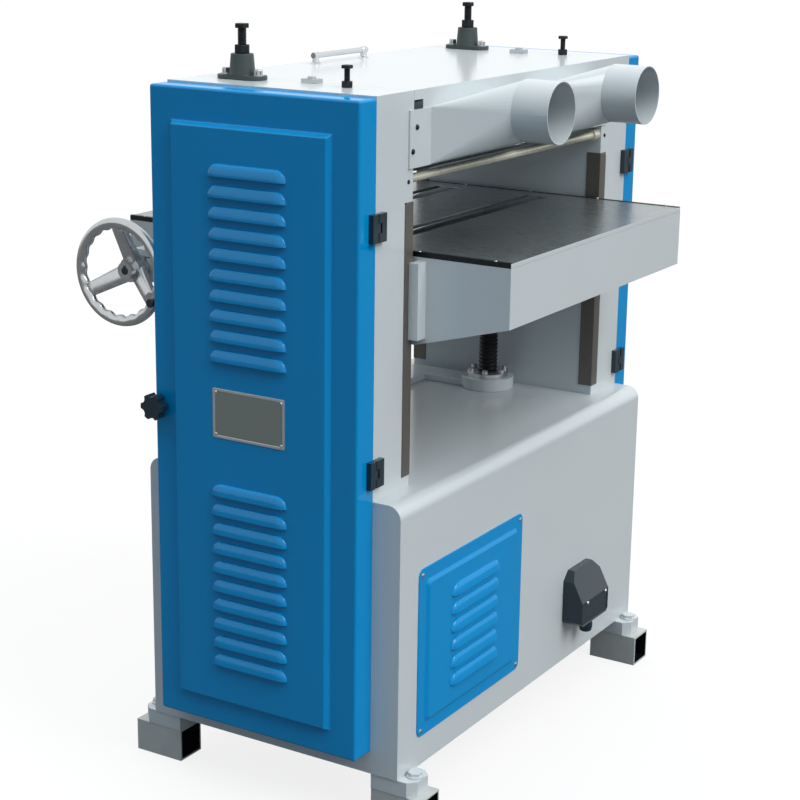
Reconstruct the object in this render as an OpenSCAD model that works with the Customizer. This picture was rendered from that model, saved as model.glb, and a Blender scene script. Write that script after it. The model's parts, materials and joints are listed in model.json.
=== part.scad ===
/* [Columns and base] */
// Width of one column, left to right
column_w = 112; // [100:1:150]
// Depth of the columns, front to back
column_d = 408; // [380:2:520]
// Wall of the columns
column_wall = 8; // [5:0.5:12]
// Height of the columns' top above the floor
column_top_z = 1231; // [1200:1:1400]
// Height of the base's deck above the floor
deck_z = 573; // [540:1:640]
// How far the base stands in front of and behind the columns
base_proud = 54; // [40:1:90]
// Wall of the base's bent shell
base_wall = 6; // [4:0.5:10]
// Round on the base's upper front and rear edges
base_round = 24; // [10:1:40]
// Height of the base's lower edge above the floor
base_z = 88; // [80:1:120]

/* [Feet] */
// Width and height of a foot's square tube
foot_size = 60; // [40:1:80]
// Wall of a foot's square tube
foot_wall = 4; // [3:0.5:8]
// Length of a foot's square tube
foot_len = 100; // [80:1:140]
// Distance of a foot's middle from the base's end
foot_in = 33; // [30:1:60]
// How far a foot's lug reaches past the base
lug_proud = 31; // [28:1:44]
// Radius of the foot bolts
foot_bolt_r = 8; // [5:0.5:10]
// How far a foot's tube reaches past the base
foot_out = 46; // [44:1:60]

/* [Side doors] */
// Thickness of a door's pan
door_t = 48; // [40:1:70]
// Height of a door
door_h = 1100; // [1060:1:1200]
// Height of a door's lower edge above the floor
door_z = 128; // [110:1:160]
// Sheet of the doors
door_sheet = 2.5; // [1.5:0.5:4]
// Margin below the raised panel
panel_low_margin = 50; // [30:1:70]
// Margin in front of the raised panel
panel_front_margin = 56; // [46:1:70]
// Margin behind the raised panel
panel_back_margin = 50; // [40:1:70]
// Margin above the raised panel
panel_top_margin = 60; // [30:1:70]
// Height of the raised panel
panel_rise = 10; // [4:0.5:16]
// Number of louvres in one bank
louvre_count = 10; // [4:1:10]
// Distance from louvre to louvre
louvre_pitch = 34; // [28:1:36]
// Width of a louvre
louvre_w = 154; // [100:1:200]
// Height of a louvre
louvre_h = 20; // [14:1:24]
// How far a louvre stands out
louvre_rise = 8; // [4:0.5:12]

/* [Table] */
// Width of the table
table_w = 670; // [520:2:690]
// Length of the table, front to back
table_len = 760; // [700:2:900]
// Height of the table's top above the floor
table_z = 968; // [940:1:980]
// Height of the table's front face
table_front_h = 108; // [90:1:130]
// Height of the table between the columns
table_mid_h = 156; // [140:1:170]
// Wall of the table's casting
table_wall = 12; // [8:0.5:18]
// Thickness of the table's steel top
table_top_t = 8; // [5:0.5:12]
// Radius of the bed rollers
bed_roller_r = 30; // [22:0.5:34]
// Distance of the bed rollers from the table's middle
bed_roller_y = 98; // [90:1:120]

/* [Lift] */
// Radius of the lift screws
screw_r = 19; // [14:0.5:22]
// Radius of the ring that holds a lift nut
ring_r = 52; // [41:0.5:52.5]
// Height of that ring above the deck
ring_h = 24; // [12:1:30]
// Radius of the handwheel
wheel_r = 94; // [80:1:94]
// Distance of the handwheel's shaft behind the middle
wheel_y = 300; // [300:1:310]
// Height of the handwheel's shaft above the floor
wheel_z = 899; // [890:1:905]
// Number of finger hollows in the handwheel's rim
wheel_grips = 20; // [12:1:24]

/* [Cutting and feeding] */
// Height of the cutterhead's axis above the floor
cutter_z = 1125; // [1120:1:1130]
// Distance of the cutterhead's axis behind the middle
cutter_y = 6; // [5:0.5:7]
// Radius of the cutterhead's body
cutter_r = 49; // [44:0.5:50]
// Radius of the circle that the knife edges run on
cutting_r = 52; // [51:0.1:52.4]
// Radius of the cutterhead's journals
journal_r = 20; // [15:0.5:24]
// Radius of the feed rollers
feed_r = 40; // [36:0.5:40.5]
// Radius of the feed rollers' journals
feed_journal_r = 17; // [12:0.5:20]
// Distance of the infeed roller behind the middle
infeed_y = 111; // [110:0.5:113]
// Links from the gear motor up to the infeed roller
chain_drop = 42; // [40:1:44]

/* [Drive] */
// Radius of the main motor
motor_r = 105; // [90:1:108]
// Length of the main motor
motor_len = 300; // [240:5:310]
// Distance of the motor's shaft in front of the middle
motor_y = 120; // [118:1:128]
// Height of the motor's shaft above the floor
motor_z = 232; // [226:1:245]
// Outer radius of the motor's pulley
motor_pulley_r = 85; // [60:1:90]
// Outer radius of the cutterhead's pulley
cutter_pulley_r = 58; // [45:1:62]
// Number of V-belts
belt_count = 3; // [1:1:3]

/* [Dust hoods and top cover] */
// Outer radius of the dust ports
port_r = 51.5; // [40:0.5:60]
// Wall of the dust hoods
hood_wall = 1.5; // [1:0.25:3]
// Distance of the dust ports from the middle
port_x = 168; // [150:1:180]
// Height of the dust ports above the floor
port_z = 1190; // [1180:1:1195]
// How far the dust ports reach in front of the columns
hood_reach = 172; // [140:1:175]
// Length of a dust port's round end
port_len = 66; // [50:1:80]
// Height of a hood's lower edge above the floor
hood_z = 1107; // [1100:1:1120]
// Depth of the top cover's front lip
lip_h = 31; // [28:0.5:32]
// Sheet of the top cover
cover_sheet = 3; // [1.5:0.5:4]

/* [Front panel and terminal box] */
// Width of the front panel
front_panel_w = 366; // [300:1:400]
// Height of the front panel
front_panel_h = 305; // [260:1:340]
// Width of the terminal box
box_w = 114; // [90:1:140]
// Height of the terminal box
box_h = 105; // [90:1:130]
// Depth of the terminal box
box_d = 43; // [36:1:70]
// Radius of the cable gland's bore
gland_r = 8; // [5:0.5:9]

/* [Hidden] */
$fn = 48;
// Overrun of every cut
cut = 1;
// Gap between pieces that move past each other
gap = 0.3;
// Radial clearance of a running shaft
run = 0.05;

// Main planes: the table's width sets the clear width between the columns
table_gap = 13;
throat_w = table_w + 2 * table_gap;
in_x = throat_w / 2;
out_x = in_x + column_w;
door_x = out_x + gap;
door_out_x = door_x + door_t;
half_d = column_d / 2;
base_y = half_d + base_proud;
foot_x = out_x - foot_in;
panel_y = panel_front_margin - half_d;
panel_back_y = half_d - panel_back_margin;
louvre_y = (panel_y + panel_back_y) / 2;
panel_z = door_z + panel_low_margin;
panel_top_z = door_z + door_h - panel_top_margin;
panel_x = door_out_x + panel_rise;
feed_z = cutter_z - cutting_r - gap + feed_r;

// Chain geometry: the pitch, and the links between the two feed rollers
chain_pitch = 19.05;
chain_span = 11;
sprocket_teeth = 12;
sprocket_r = chain_pitch / 2 / sin(180 / sprocket_teeth);
chain_roller_r = 5.9;
outfeed_y = infeed_y - chain_span * chain_pitch;
gear_y = infeed_y;
gear_z = feed_z - chain_drop * chain_pitch;

// Small sizes of the frame
lug_t = base_z - foot_size;
lug_w = 62;
lug_len = 85;
lug_chamfer = 14;
washer_t = 3;
washer_r = 15;
bolt_head_h = 6;
bolt_head_r = 13;
way_w = 24;
way_d = 28;
way_proud = 1.5;
way_up = 18;
way_z = deck_z + way_up;
way_top_z = 1053;
way_round = 10;
shelf_t = 8;
shelf_up = 24;
shelf_z = base_z + shelf_up;
shelf_gap = 120;
bar_r = 7.5;
bar_in = 12;
bar_y = half_d - bar_in;
bar_z = 1088;
bar_bush_r = 11;
bar_bush_len = 22;
beam_t = 20;
beam_h = 76;
tab_t = 8;
tab_w = 30;
tab_h = 40;

slot_room = 16;
front_hole_in = 50;
side_hole_in = 44;

// Small sizes of the doors
knob_r = 23;
knob_h = 26;
knob_stem_r = 5;
knob_in = 11;
knob_y = half_d - knob_in;
knob_z = 688;
knob_lobes = 6;
knob_neck = 7;
knob_neck_r = 12;
knob_notch_at = 26;
knob_notch_r = 8;
hinge_h = 46;
hinge_w = 20;
hinge_t = 9;
hinge_pin_r = 2.5;
hinge_barrel_r = 4.4;
hinge_off = 6;
hinge_upper_z = 1026;
hinge_lower_z = 622;
bank_drop = 220;
bank_up = 231;
louvre_bank_z = panel_top_z - bank_drop;
louvre_bank_low_z = panel_z + bank_up;

// Small sizes of the table
table_back = 13;
table_rear_h = 46;
table_taper = 56;
bed_roller_in = 49;
bed_roller_len = table_w - 2 * bed_roller_in;
shoe_t = 18;
bed_shaft_r = 9;
bed_block_t = 20;
bed_block_w = 46;
bed_block_h = 40;
bed_slot_gap = 3;
bed_slot_w = 47;
rib_up = 14;
shoe_back = 12;
shoe_drop = 6;
screw_seat = 80;
bed_proud = 0.4;
bed_z = table_z - bed_roller_r + bed_proud;
rib_y = 40;
screw_in = 53;
screw_x = in_x - screw_in;
screw_boss_r = 26;
// Travel of the table above its rest
travel_up = 98;
nut_r = 30;
nut_deck_h = 40;
nut_low_z = deck_z - nut_deck_h;
nut_flange_r = 40;
nut_flange_t = 8;
lift_sprocket_r = 44;
lift_sprocket_t = 10;
lift_chain_t = 8;
lift_shaft_r = 9;
lift_shaft_in = 60;
lift_shaft_x = out_x - lift_shaft_in;
lift_shaft_gap = 7;
lift_shaft_y = half_d + lift_shaft_gap + lift_shaft_r;
lift_pinion_r = lift_sprocket_r / 2;
screw_low_z = nut_low_z - travel_up - gap - cut;
bridge_w = 60;
bridge_h = 13;
bridge_y = 190;

// Small sizes of the handwheel and its gearbox
wheel_out = 18;
wheel_x = out_x + wheel_out;
wheel_rim_r = 8.5;
wheel_hub_r = 22;
wheel_hub_len = 28;
wheel_boss_r = 15.5;
wheel_boss_len = 13;
wheel_spokes = 3;
wheel_shaft_r = 9;
gearbox_in = 36;
gearbox_x = out_x - gearbox_in;
gearbox_w = 50;
gearbox_past = 24;
gearbox_back_y = wheel_y + gearbox_past;
gearbox_down = 24;
gearbox_up = 32;
gearbox_z = wheel_z - gearbox_down;
gearbox_top_z = wheel_z + gearbox_up;
gearbox_round = 12;
gearbox_wall = 30;
lift_collar_r = 15;
wheel_spoke_r = 17;
wheel_spoke_end_r = 12;
wheel_spoke_t = 8;
wheel_grip_r = 9;
wheel_grip_d = 3;

// Small sizes of the cutterhead and rollers
cutter_short = 56;
cutter_len = throat_w - cutter_short;
bearing_r = 36;
bearing_w = 22;
housing_r = 46;
housing_flange_r = 60;
housing_flange_t = 10;
housing_in = 12;
housing_lip = 4;
knife_count = 4;
knife_t = 3;
wedge_t = 9;
slot_depth = 24;
feed_short = 36;
feed_len = throat_w - feed_short;
block_w = 60;
block_h = 76;
block_t = 56;
window_lift = 8;
feed_flutes = 24;
feed_flute_r = 2;
breaker_t = 7;
breaker_y = (cutter_y + cutting_r + infeed_y - feed_r) / 2;
breaker_z = cutter_z - cutting_r - 2 * gap;
breaker_top_z = 1195;
press_t = 7;
press_y = (cutter_y - cutting_r + outfeed_y + feed_r) / 2;
feed_chain_in = 40;
feed_chain_x = out_x - feed_chain_in;
roll_chain_in = 18;
roll_chain_x = out_x - roll_chain_in;
chain_inner = 12;
chain_plate_t = 2;
chain_plate_h = 16;
sprocket_t = 10;

// Small sizes of the drive
pulley_in = 50;
pulley_x = out_x - pulley_in;
belt_w = 10;
belt_pitch = 16;
belt_t = 8;
groove_clear = 0.5;
pulley_rim = 2;
pulley_w = belt_pitch * belt_count + 2 * pulley_rim;
motor_shaft_r = 19;
motor_in = 88;
motor_x = out_x - motor_in;
motor_foot_h = motor_z - shelf_z - shelf_t;
motor_fins = 24;
motor_fin_h = 6;
motor_fin_t = 3;
motor_cap = 40;
motor_foot_t = 12;
feed_motor_r = 60;
feed_motor_len = 200;
feed_box_w = 60;
feed_box_d = 104;
feed_box_h = 120;
feed_shaft_r = 12;
feed_box_gap = 46;

// Small sizes of the hoods, cover and posts
hood_in_x = 4;
hood_side_in = 48;
hood_side_x = in_x - hood_side_in;
hood_tab_out = 16;
hood_tab_x = in_x + hood_tab_out;
hood_top_z = column_top_z - lip_h;
hood_tab_lap = 6;
hood_flange_t = 3;
port_lap = 0.5;
port_seam = 0.3;
hinge_block_w = 28;
hinge_block_h = 12;
hinge_block_t = 14;
cover_axis_up = 7;
cover_notch_h = 15;
rear_lip_h = 20;
cover_axis_in = 7;
cover_axis_y = half_d - cover_axis_in;
cover_axis_z = hood_top_z + cover_axis_up;
cover_pin_r = 4;
cover_lug_w = 16;
cover_lug_r = 6.5;
handle_len = 176;
handle_r = 6;
handle_h = 15;
handle_y = 165;
handle_foot_r = 8;
post_out = 30;
post_x = in_x + post_out;
post_y = infeed_y;
post_flange_len = 90;
post_flange_w = 44;
post_flange_t = 7;
post_round = 20;
post_r = 19;
post_h = 42;
post_bolt_r = 7;
post_bolt_pitch = 66;
post_bolt_h = 8;
post_screw_r = 7.5;
post_screw_h = 91;
post_nut_r = 13.5;
post_nut_h = 14;
post_head_r = 12;
post_head_h = 8;
stop_out = 34;
stop_x = in_x + stop_out;
stop_screw_r = 5;
stop_h = 36;
stop_nut_r = 10;
stop_nut_h = 10;
stop_head_h = 6;
oiler_out = 11;
oiler_x = in_x + oiler_out;
oiler_y = -15;
oiler_w = 30;
oiler_d = 20;
oiler_h = 7;

// Small sizes of the front panel and terminal box
front_panel_x = -217;
front_panel_z = 294;
front_panel_t = 2;
front_panel_round = 14;
front_panel_rise = 6;
front_panel_in = 34;
front_louvres = 6;
front_louvre_w = 169;
front_louvre_pitch = 33;
box_x = 205;
box_z = 167;
box_crease = 48;
box_top_d = 14;
box_corner = 18;
box_low_corner = 6;
gland_out_r = 13.5;
gland_h = 27;
gland_out = 24;
gland_y = base_y + gland_out;

paint = "#B5BEC2";
blue = "#0C62A0";
steel = "#8E9296";
dark_steel = "#3C4246";
iron = "#5A5F62";
black = "#1C1E20";
silver = "#C9CDD0";

module slab(a, b) {
  translate(a) cube(b - a);
}

module rod_x(r, len) {
  rotate([0, 90, 0]) cylinder(r = r, h = len);
}

module rod_y(r, len) {
  rotate([-90, 0, 0]) cylinder(r = r, h = len);
}

// A drawing in Y and Z, pulled along X
module along_x(len) {
  rotate([90, 0, 90]) linear_extrude(len) children();
}

module both_sides() {
  for (side = [0, 1]) mirror([side, 0, 0]) children();
}

module front_and_back() {
  for (side = [0, 1]) mirror([0, side, 0]) children();
}

module round_rect(w, h, r) {
  square([w - 2 * r, h], center = true);
  square([w, h - 2 * r], center = true);
  for (x = [-1, 1], y = [-1, 1]) translate([x * (w / 2 - r), y * (h / 2 - r)]) circle(r);
}

// Outline of the base in Y and Z, with its two upper edges rounded
module base_outline(y, z, r, low) {
  translate([-y, low]) square([2 * y, z - r - low]);
  translate([r - y, low]) square([2 * (y - r), z - low]);
  for (side = [-1, 1]) translate([side * (y - r), z - r]) circle(r);
}

module base_inside(low) {
  base_outline(base_y - base_wall, deck_z - base_wall, base_round - base_wall, low);
}

module base_shell() {
  belt_y = (cutter_y + motor_y) * (deck_z - motor_z) / (cutter_z - motor_z) - motor_y;
  slot_y = motor_pulley_r + slot_room;
  chain_y = sprocket_r + slot_room;
  color(paint) difference() {
    translate([-out_x, 0, 0]) along_x(2 * out_x) difference() {
      base_outline(base_y, deck_z, base_round, base_z);
      base_inside(base_z - cut);
    }
    both_sides() translate([screw_x, 0, deck_z - base_wall - cut])
      cylinder(r = nut_r + slot_room / 8, h = base_wall + 2 * cut);
    slab([-pulley_x - pulley_w / 2 - slot_room / 4, belt_y - slot_y, deck_z - base_wall - cut],
         [-pulley_x + pulley_w / 2 + slot_room / 4, belt_y + slot_y, deck_z + cut]);
    slab([feed_chain_x - slot_room, gear_y - chain_y, deck_z - base_wall - cut],
         [feed_chain_x + slot_room, gear_y + chain_y, deck_z + cut]);
    translate([-lift_shaft_x, lift_shaft_y, deck_z - base_wall - cut])
      cylinder(r = lift_shaft_r + run, h = base_wall + 2 * cut);
    slab([front_panel_x - front_panel_w / 2 + front_hole_in, -base_y - cut,
          front_panel_z - front_panel_h / 2 + front_hole_in],
         [front_panel_x + front_panel_w / 2 - front_hole_in, -base_y + base_wall + cut,
          front_panel_z + front_panel_h / 2 - front_hole_in]);
  }
}

module side_plates() {
  color(paint) both_sides() translate([out_x - base_wall, 0, 0]) along_x(base_wall)
    difference() {
      base_inside(base_z);
      translate([0, (base_z + deck_z) / 2])
        round_rect(column_d - 2 * side_hole_in, deck_z - base_z - 2 * side_hole_in, base_round);
    }
}

module each_foot() {
  both_sides() front_and_back() translate([foot_x, base_y, 0]) children();
}

module foot_lugs() {
  color(paint) each_foot() translate([0, 0, foot_size]) difference() {
    linear_extrude(lug_t) polygon([
      [-lug_w / 2, lug_proud - lug_len], [lug_w / 2, lug_proud - lug_len],
      [lug_w / 2, lug_proud - lug_chamfer], [lug_w / 2 - lug_chamfer, lug_proud],
      [lug_chamfer - lug_w / 2, lug_proud], [-lug_w / 2, lug_proud - lug_chamfer]]);
    translate([0, lug_proud / 2, -cut]) cylinder(r = foot_bolt_r + run, h = lug_t + 2 * cut);
  }
}

module foot_tubes() {
  color(steel) each_foot() difference() {
    translate([-foot_size / 2, foot_out - foot_len, 0]) cube([foot_size, foot_len, foot_size]);
    translate([foot_wall - foot_size / 2, foot_out - foot_len - cut, foot_wall])
      cube([foot_size - 2 * foot_wall, foot_len + 2 * cut, foot_size - 2 * foot_wall]);
    translate([0, lug_proud / 2, foot_size - foot_wall - cut])
      cylinder(r = foot_bolt_r + run, h = foot_wall + 2 * cut);
  }
}

module foot_bolts() {
  color(paint) each_foot() translate([0, lug_proud / 2, 0]) {
    translate([0, 0, base_z]) cylinder(r = washer_r, h = washer_t);
    translate([0, 0, base_z + washer_t]) cylinder(r = bolt_head_r, h = bolt_head_h, $fn = 6);
    translate([0, 0, foot_size - foot_wall - bolt_head_h])
      cylinder(r = foot_bolt_r, h = base_z - foot_size + foot_wall + bolt_head_h);
    translate([0, 0, foot_size - foot_wall - bolt_head_h])
      cylinder(r = bolt_head_r, h = bolt_head_h, $fn = 6);
  }
}

module machine_shelves() {
  color(paint) both_sides()
    slab([shelf_gap / 2, base_wall - base_y, shelf_z],
         [out_x - base_wall, base_y - base_wall, shelf_z + shelf_t]);
}

// The right-hand column: a deep channel, open towards its door
module column() {
  color(paint) difference() {
    union() {
      difference() {
        slab([in_x, -half_d, deck_z], [out_x, half_d, column_top_z]);
        slab([in_x + column_wall, column_wall - half_d, deck_z - cut],
             [out_x + cut, half_d - column_wall, column_top_z - column_wall]);
      }
      slab([out_x - tab_t, half_d - column_wall - tab_w, knob_z - tab_h / 2],
           [out_x, half_d - column_wall, knob_z + tab_h / 2]);
    }
    translate([in_x - cut, cutter_y, cutter_z]) rod_x(housing_r, column_wall + 2 * cut);
    for (y = [infeed_y, outfeed_y])
      slab([in_x - cut, y - block_w / 2, feed_z - block_h / 2],
           [in_x + column_wall + cut, y + block_w / 2, feed_z + block_h / 2 + window_lift]);
    front_and_back() slab([in_x - cut, -half_d - cut, way_z],
                          [in_x + way_w, way_d - half_d, way_top_z]);
    translate([post_x, post_y, column_top_z - column_wall - cut])
      cylinder(r = post_screw_r + gap, h = column_wall + 2 * cut);
    translate([stop_x, outfeed_y, column_top_z - column_wall - cut])
      cylinder(r = stop_screw_r + run, h = column_wall + 2 * cut);
  }
}

module left_column() { mirror([1, 0, 0]) column(); }
module right_column() { column(); }

module guide_ways() {
  y = -half_d - way_proud;
  color("#7A736B") both_sides() front_and_back() {
    slab([in_x - way_proud, y, way_z], [in_x + way_w, way_d - half_d, way_top_z - way_round]);
    slab([in_x - way_proud, y, way_z], [in_x + way_w - way_round, way_d - half_d, way_top_z]);
    translate([in_x + way_w - way_round, y, way_top_z - way_round])
      rod_y(way_round, way_d + way_proud);
  }
}

module front_bar() {
  color("#C8C6B8") translate([-in_x, -bar_y, bar_z]) {
    rod_x(bar_r, throat_w);
    translate([throat_w - bar_bush_len, 0, 0]) rod_x(bar_bush_r, bar_bush_len);
  }
}

module rear_beam() {
  color(paint) slab([-in_x, half_d - beam_t - rear_lip_h, column_top_z - cover_sheet - gap - beam_h],
                    [in_x, half_d - rear_lip_h, column_top_z - cover_sheet - gap]);
}

// A flat duct that runs into a round port; inset gives its inside
module hood_loft(inset, back) {
  hull() {
    slab([hood_in_x + inset, back - half_d, hood_z + inset],
         [hood_side_x - inset, back - half_d + hood_wall, hood_top_z - inset]);
    translate([port_x, port_len - half_d - hood_reach - port_seam, port_z])
      rod_y(port_r - port_lap - inset, port_seam);
  }
}

module hood() {
  color(paint) difference() {
    union() {
      hood_loft(0, -hood_wall);
      translate([port_x, -half_d - hood_reach, port_z]) rod_y(port_r, port_len);
      slab([hood_side_x - hood_tab_lap, -half_d - hood_flange_t, hood_z],
           [hood_tab_x, -half_d, hood_top_z]);
      slab([0, -half_d - hood_flange_t, hood_z],
           [hood_in_x + hood_tab_lap, -half_d, hood_top_z]);
    }
    hood_loft(hood_wall, 0);
    translate([port_x, -half_d - hood_reach - cut, port_z])
      rod_y(port_r - hood_wall, port_len + cut);
  }
}

module left_hood() { mirror([1, 0, 0]) hood(); }
module right_hood() { hood(); }

// A drawing in Z and X, pulled along Y
module across_y(len) {
  rotate([90, 0, 90]) rotate([90, 0, 90]) linear_extrude(len) children();
}

// Section of a pressed louvre: an arc from the sheet out to the lip
module louvre_section(h, rise) {
  r = (h * h + rise * rise) / (2 * rise);
  intersection() {
    translate([0, rise - r]) circle(r, $fn = 96);
    square([h, rise]);
  }
}

// A louvre that stands out along X, with its lip at the bottom
module louvre(w) {
  run_w = w - 2 * louvre_h;
  translate([0, -run_w / 2, 0]) across_y(run_w) louvre_section(louvre_h, louvre_rise);
  front_and_back() translate([0, run_w / 2, 0]) rotate([90, 0, 90])
    rotate_extrude(angle = 90) louvre_section(louvre_h, louvre_rise);
}

// The slit behind a louvre's lip
module louvre_slit(w, sheet) {
  run_w = w - 2 * louvre_h;
  translate([0, -run_w / 2, 0]) across_y(run_w) {
    louvre_section(louvre_h - sheet, louvre_rise - sheet);
    translate([-cut, 0]) square([cut, louvre_rise - sheet]);
    translate([0, -sheet - cut]) square([louvre_h / 2, sheet + cut]);
  }
}

module door_louvres() {
  for (bank = [louvre_bank_z, louvre_bank_low_z], i = [0 : louvre_count - 1])
    translate([panel_x, louvre_y, bank + (i - (louvre_count - 1) / 2) * louvre_pitch - louvre_h / 2])
      children();
}

// The right-hand door: a pressed pan with a raised panel and two banks of louvres
module door() {
  color(blue) difference() {
    union() {
      slab([door_x, -half_d, door_z], [door_out_x, half_d, door_z + door_h]);
      slab([door_out_x - door_sheet, panel_y, panel_z], [panel_x, panel_back_y, panel_top_z]);
      door_louvres() louvre(louvre_w);
    }
    slab([door_x - cut, door_sheet - half_d, door_z + door_sheet],
         [door_out_x - door_sheet, half_d - door_sheet, door_z + door_h - door_sheet]);
    slab([door_out_x - door_sheet - cut, panel_y + door_sheet, panel_z + door_sheet],
         [panel_x - door_sheet, panel_back_y - door_sheet, panel_top_z - door_sheet]);
    door_louvres() louvre_slit(louvre_w, door_sheet);
    translate([door_out_x - door_sheet - cut, knob_y, knob_z])
      rod_x(knob_stem_r + run, door_sheet + 2 * cut);
  }
}

module left_door() { mirror([1, 0, 0]) door(); }
module right_door() { door(); }

// Places on the hinge line of the right-hand door
module at_hinges() {
  for (z = [hinge_upper_z, hinge_lower_z])
    translate([out_x + gap / 2, -half_d - hinge_t / 2, z - hinge_h / 2]) children();
}

module hinge_knuckle(z, h, reach) {
  translate([0, 0, z]) cylinder(r = hinge_barrel_r, h = h);
  slab([min(0, reach), -hinge_t / 2, z], [max(0, reach), hinge_t / 2, z + h]);
}

module door_hinges() {
  third = hinge_h / 3;
  color(black) at_hinges() difference() {
    union() {
      slab([hinge_off, -hinge_t / 2, 0], [hinge_w, hinge_t / 2, hinge_h]);
      hinge_knuckle(third + gap / 2, third - gap, hinge_off);
    }
    translate([0, 0, -cut]) cylinder(r = hinge_pin_r + run, h = hinge_h + 2 * cut);
  }
}

module left_door_hinges() { mirror([1, 0, 0]) door_hinges(); }
module right_door_hinges() { door_hinges(); }

module column_hinges() {
  third = hinge_h / 3;
  color(black) both_sides() at_hinges() {
    slab([-hinge_w, -hinge_t / 2, 0], [-hinge_off, hinge_t / 2, hinge_h]);
    for (z = [0, 2 * third + gap / 2]) hinge_knuckle(z, third - gap / 2, -hinge_off);
    cylinder(r = hinge_pin_r, h = hinge_h);
  }
}

// A lobed knob whose stem passes through the door to the tab on the column
module door_knob() {
  color(black) translate([door_x, knob_y, knob_z]) {
    rod_x(knob_stem_r, door_t + knob_neck);
    translate([door_t, 0, 0]) rod_x(knob_neck_r, knob_neck);
    translate([door_t + knob_neck, 0, 0]) along_x(knob_h - knob_neck) difference() {
      circle(knob_r);
      for (i = [0 : knob_lobes - 1]) rotate(360 / knob_lobes * (i + 1 / 2))
        translate([knob_notch_at, 0]) circle(knob_notch_r);
    }
  }
}

module left_door_knob() { mirror([1, 0, 0]) door_knob(); }
module right_door_knob() { door_knob(); }

module top_cover() {
  x = in_x - gap;
  lug_x = in_x - hinge_block_w - gap - cover_lug_w;
  color(paint) difference() {
    union() {
      slab([-x, -half_d, column_top_z - cover_sheet], [x, half_d, column_top_z]);
      slab([-x, -half_d, hood_top_z], [x, cover_sheet - half_d, column_top_z]);
      slab([-x, half_d - cover_sheet, column_top_z - rear_lip_h], [x, half_d, column_top_z]);
      both_sides() translate([lug_x, -cover_axis_y, cover_axis_z])
        rod_x(cover_lug_r, cover_lug_w);
    }
    both_sides() {
      slab([lug_x + cover_lug_w, -half_d - cut, hood_top_z - cut],
           [in_x, cover_sheet + cut - half_d, hood_top_z + cover_notch_h]);
      translate([lug_x - cut, -cover_axis_y, cover_axis_z])
        rod_x(cover_pin_r + run, cover_lug_w + 2 * cut);
    }
  }
}

module cover_handle() {
  color(silver) translate([0, handle_y, column_top_z]) {
    translate([-handle_len / 2, 0, handle_h]) rod_x(handle_r, handle_len);
    both_sides() translate([handle_len / 2 - handle_foot_r, 0, 0])
      cylinder(r = handle_foot_r, h = handle_h);
  }
}

module cover_hinge_blocks() {
  color(black) both_sides() {
    slab([in_x - hinge_block_w, -half_d, hood_top_z],
         [in_x, hinge_block_t - half_d, hood_top_z + hinge_block_h]);
    translate([in_x - hinge_block_w - gap - cover_lug_w - cut, -cover_axis_y, cover_axis_z])
      rod_x(cover_pin_r, hinge_block_w + cover_lug_w);
  }
}

module spring_posts() {
  color(dark_steel) both_sides() translate([post_x, post_y, column_top_z]) difference() {
    union() {
      linear_extrude(post_flange_t) round_rect(post_flange_w, post_flange_len, post_round);
      cylinder(r1 = post_r + post_flange_t / 2, r2 = post_r, h = post_h);
      for (y = [-1, 1]) translate([0, y * post_bolt_pitch / 2, 0])
        cylinder(r = post_bolt_r, h = post_flange_t + post_bolt_h, $fn = 6);
    }
    translate([0, 0, -cut]) cylinder(r = post_screw_r + run, h = post_h + 2 * cut);
  }
}

// A set screw with a lock nut and a square head, standing on z = 0
module set_screw(r, low, nut_z, nut_r, nut_h, top, head_r, head_h) {
  translate([0, 0, low]) cylinder(r = r, h = top - low);
  translate([0, 0, nut_z]) cylinder(r = nut_r, h = nut_h, $fn = 6);
  translate([0, 0, top - head_h]) rotate(45) cylinder(r = head_r, h = head_h, $fn = 4);
}

block_top_z = feed_z + block_h / 2;

module spring_screw() {
  color(dark_steel) translate([post_x, post_y, column_top_z])
    set_screw(post_screw_r, block_top_z + gap - column_top_z, post_h + gap, post_nut_r,
              post_nut_h, post_screw_h, post_head_r, post_head_h);
}

module left_spring_screw() { mirror([1, 0, 0]) spring_screw(); }
module right_spring_screw() { spring_screw(); }

module stop_screw() {
  color(dark_steel) translate([stop_x, outfeed_y, column_top_z])
    set_screw(stop_screw_r, block_top_z + gap - column_top_z, gap, stop_nut_r,
              stop_nut_h, stop_h, stop_nut_r, stop_head_h);
}

module left_stop_screw() { mirror([1, 0, 0]) stop_screw(); }
module right_stop_screw() { stop_screw(); }

module oil_caps() {
  color(silver) both_sides() translate([oiler_x, oiler_y, column_top_z]) {
    translate([-oiler_d / 2, -oiler_w / 2, 0]) cube([oiler_d, oiler_w, oiler_h]);
    translate([0, 0, oiler_h]) cylinder(r = oiler_d / 3, h = oiler_h / 2);
  }
}

// Side view of the table: deep between the columns, shallower in front, tapered behind
module table_outline(inset, top, low) {
  front = table_len / 2 - inset;
  back = front + table_back;
  polygon([[-front, top], [-front, table_z - table_front_h - low],
           [-half_d, table_z - table_mid_h - low], [half_d, table_z - table_mid_h - low],
           [back - table_taper, table_z - table_front_h - low],
           [back, table_z - table_rear_h - low], [back, top]]);
}

module bed_slots(top) {
  for (y = [-bed_roller_y, bed_roller_y])
    slab([-bed_roller_len / 2 - bed_slot_gap, y - bed_roller_r - bed_slot_gap, top - bed_roller_r],
         [bed_roller_len / 2 + bed_slot_gap, y + bed_roller_r + bed_slot_gap, top + cut]);
}

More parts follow.
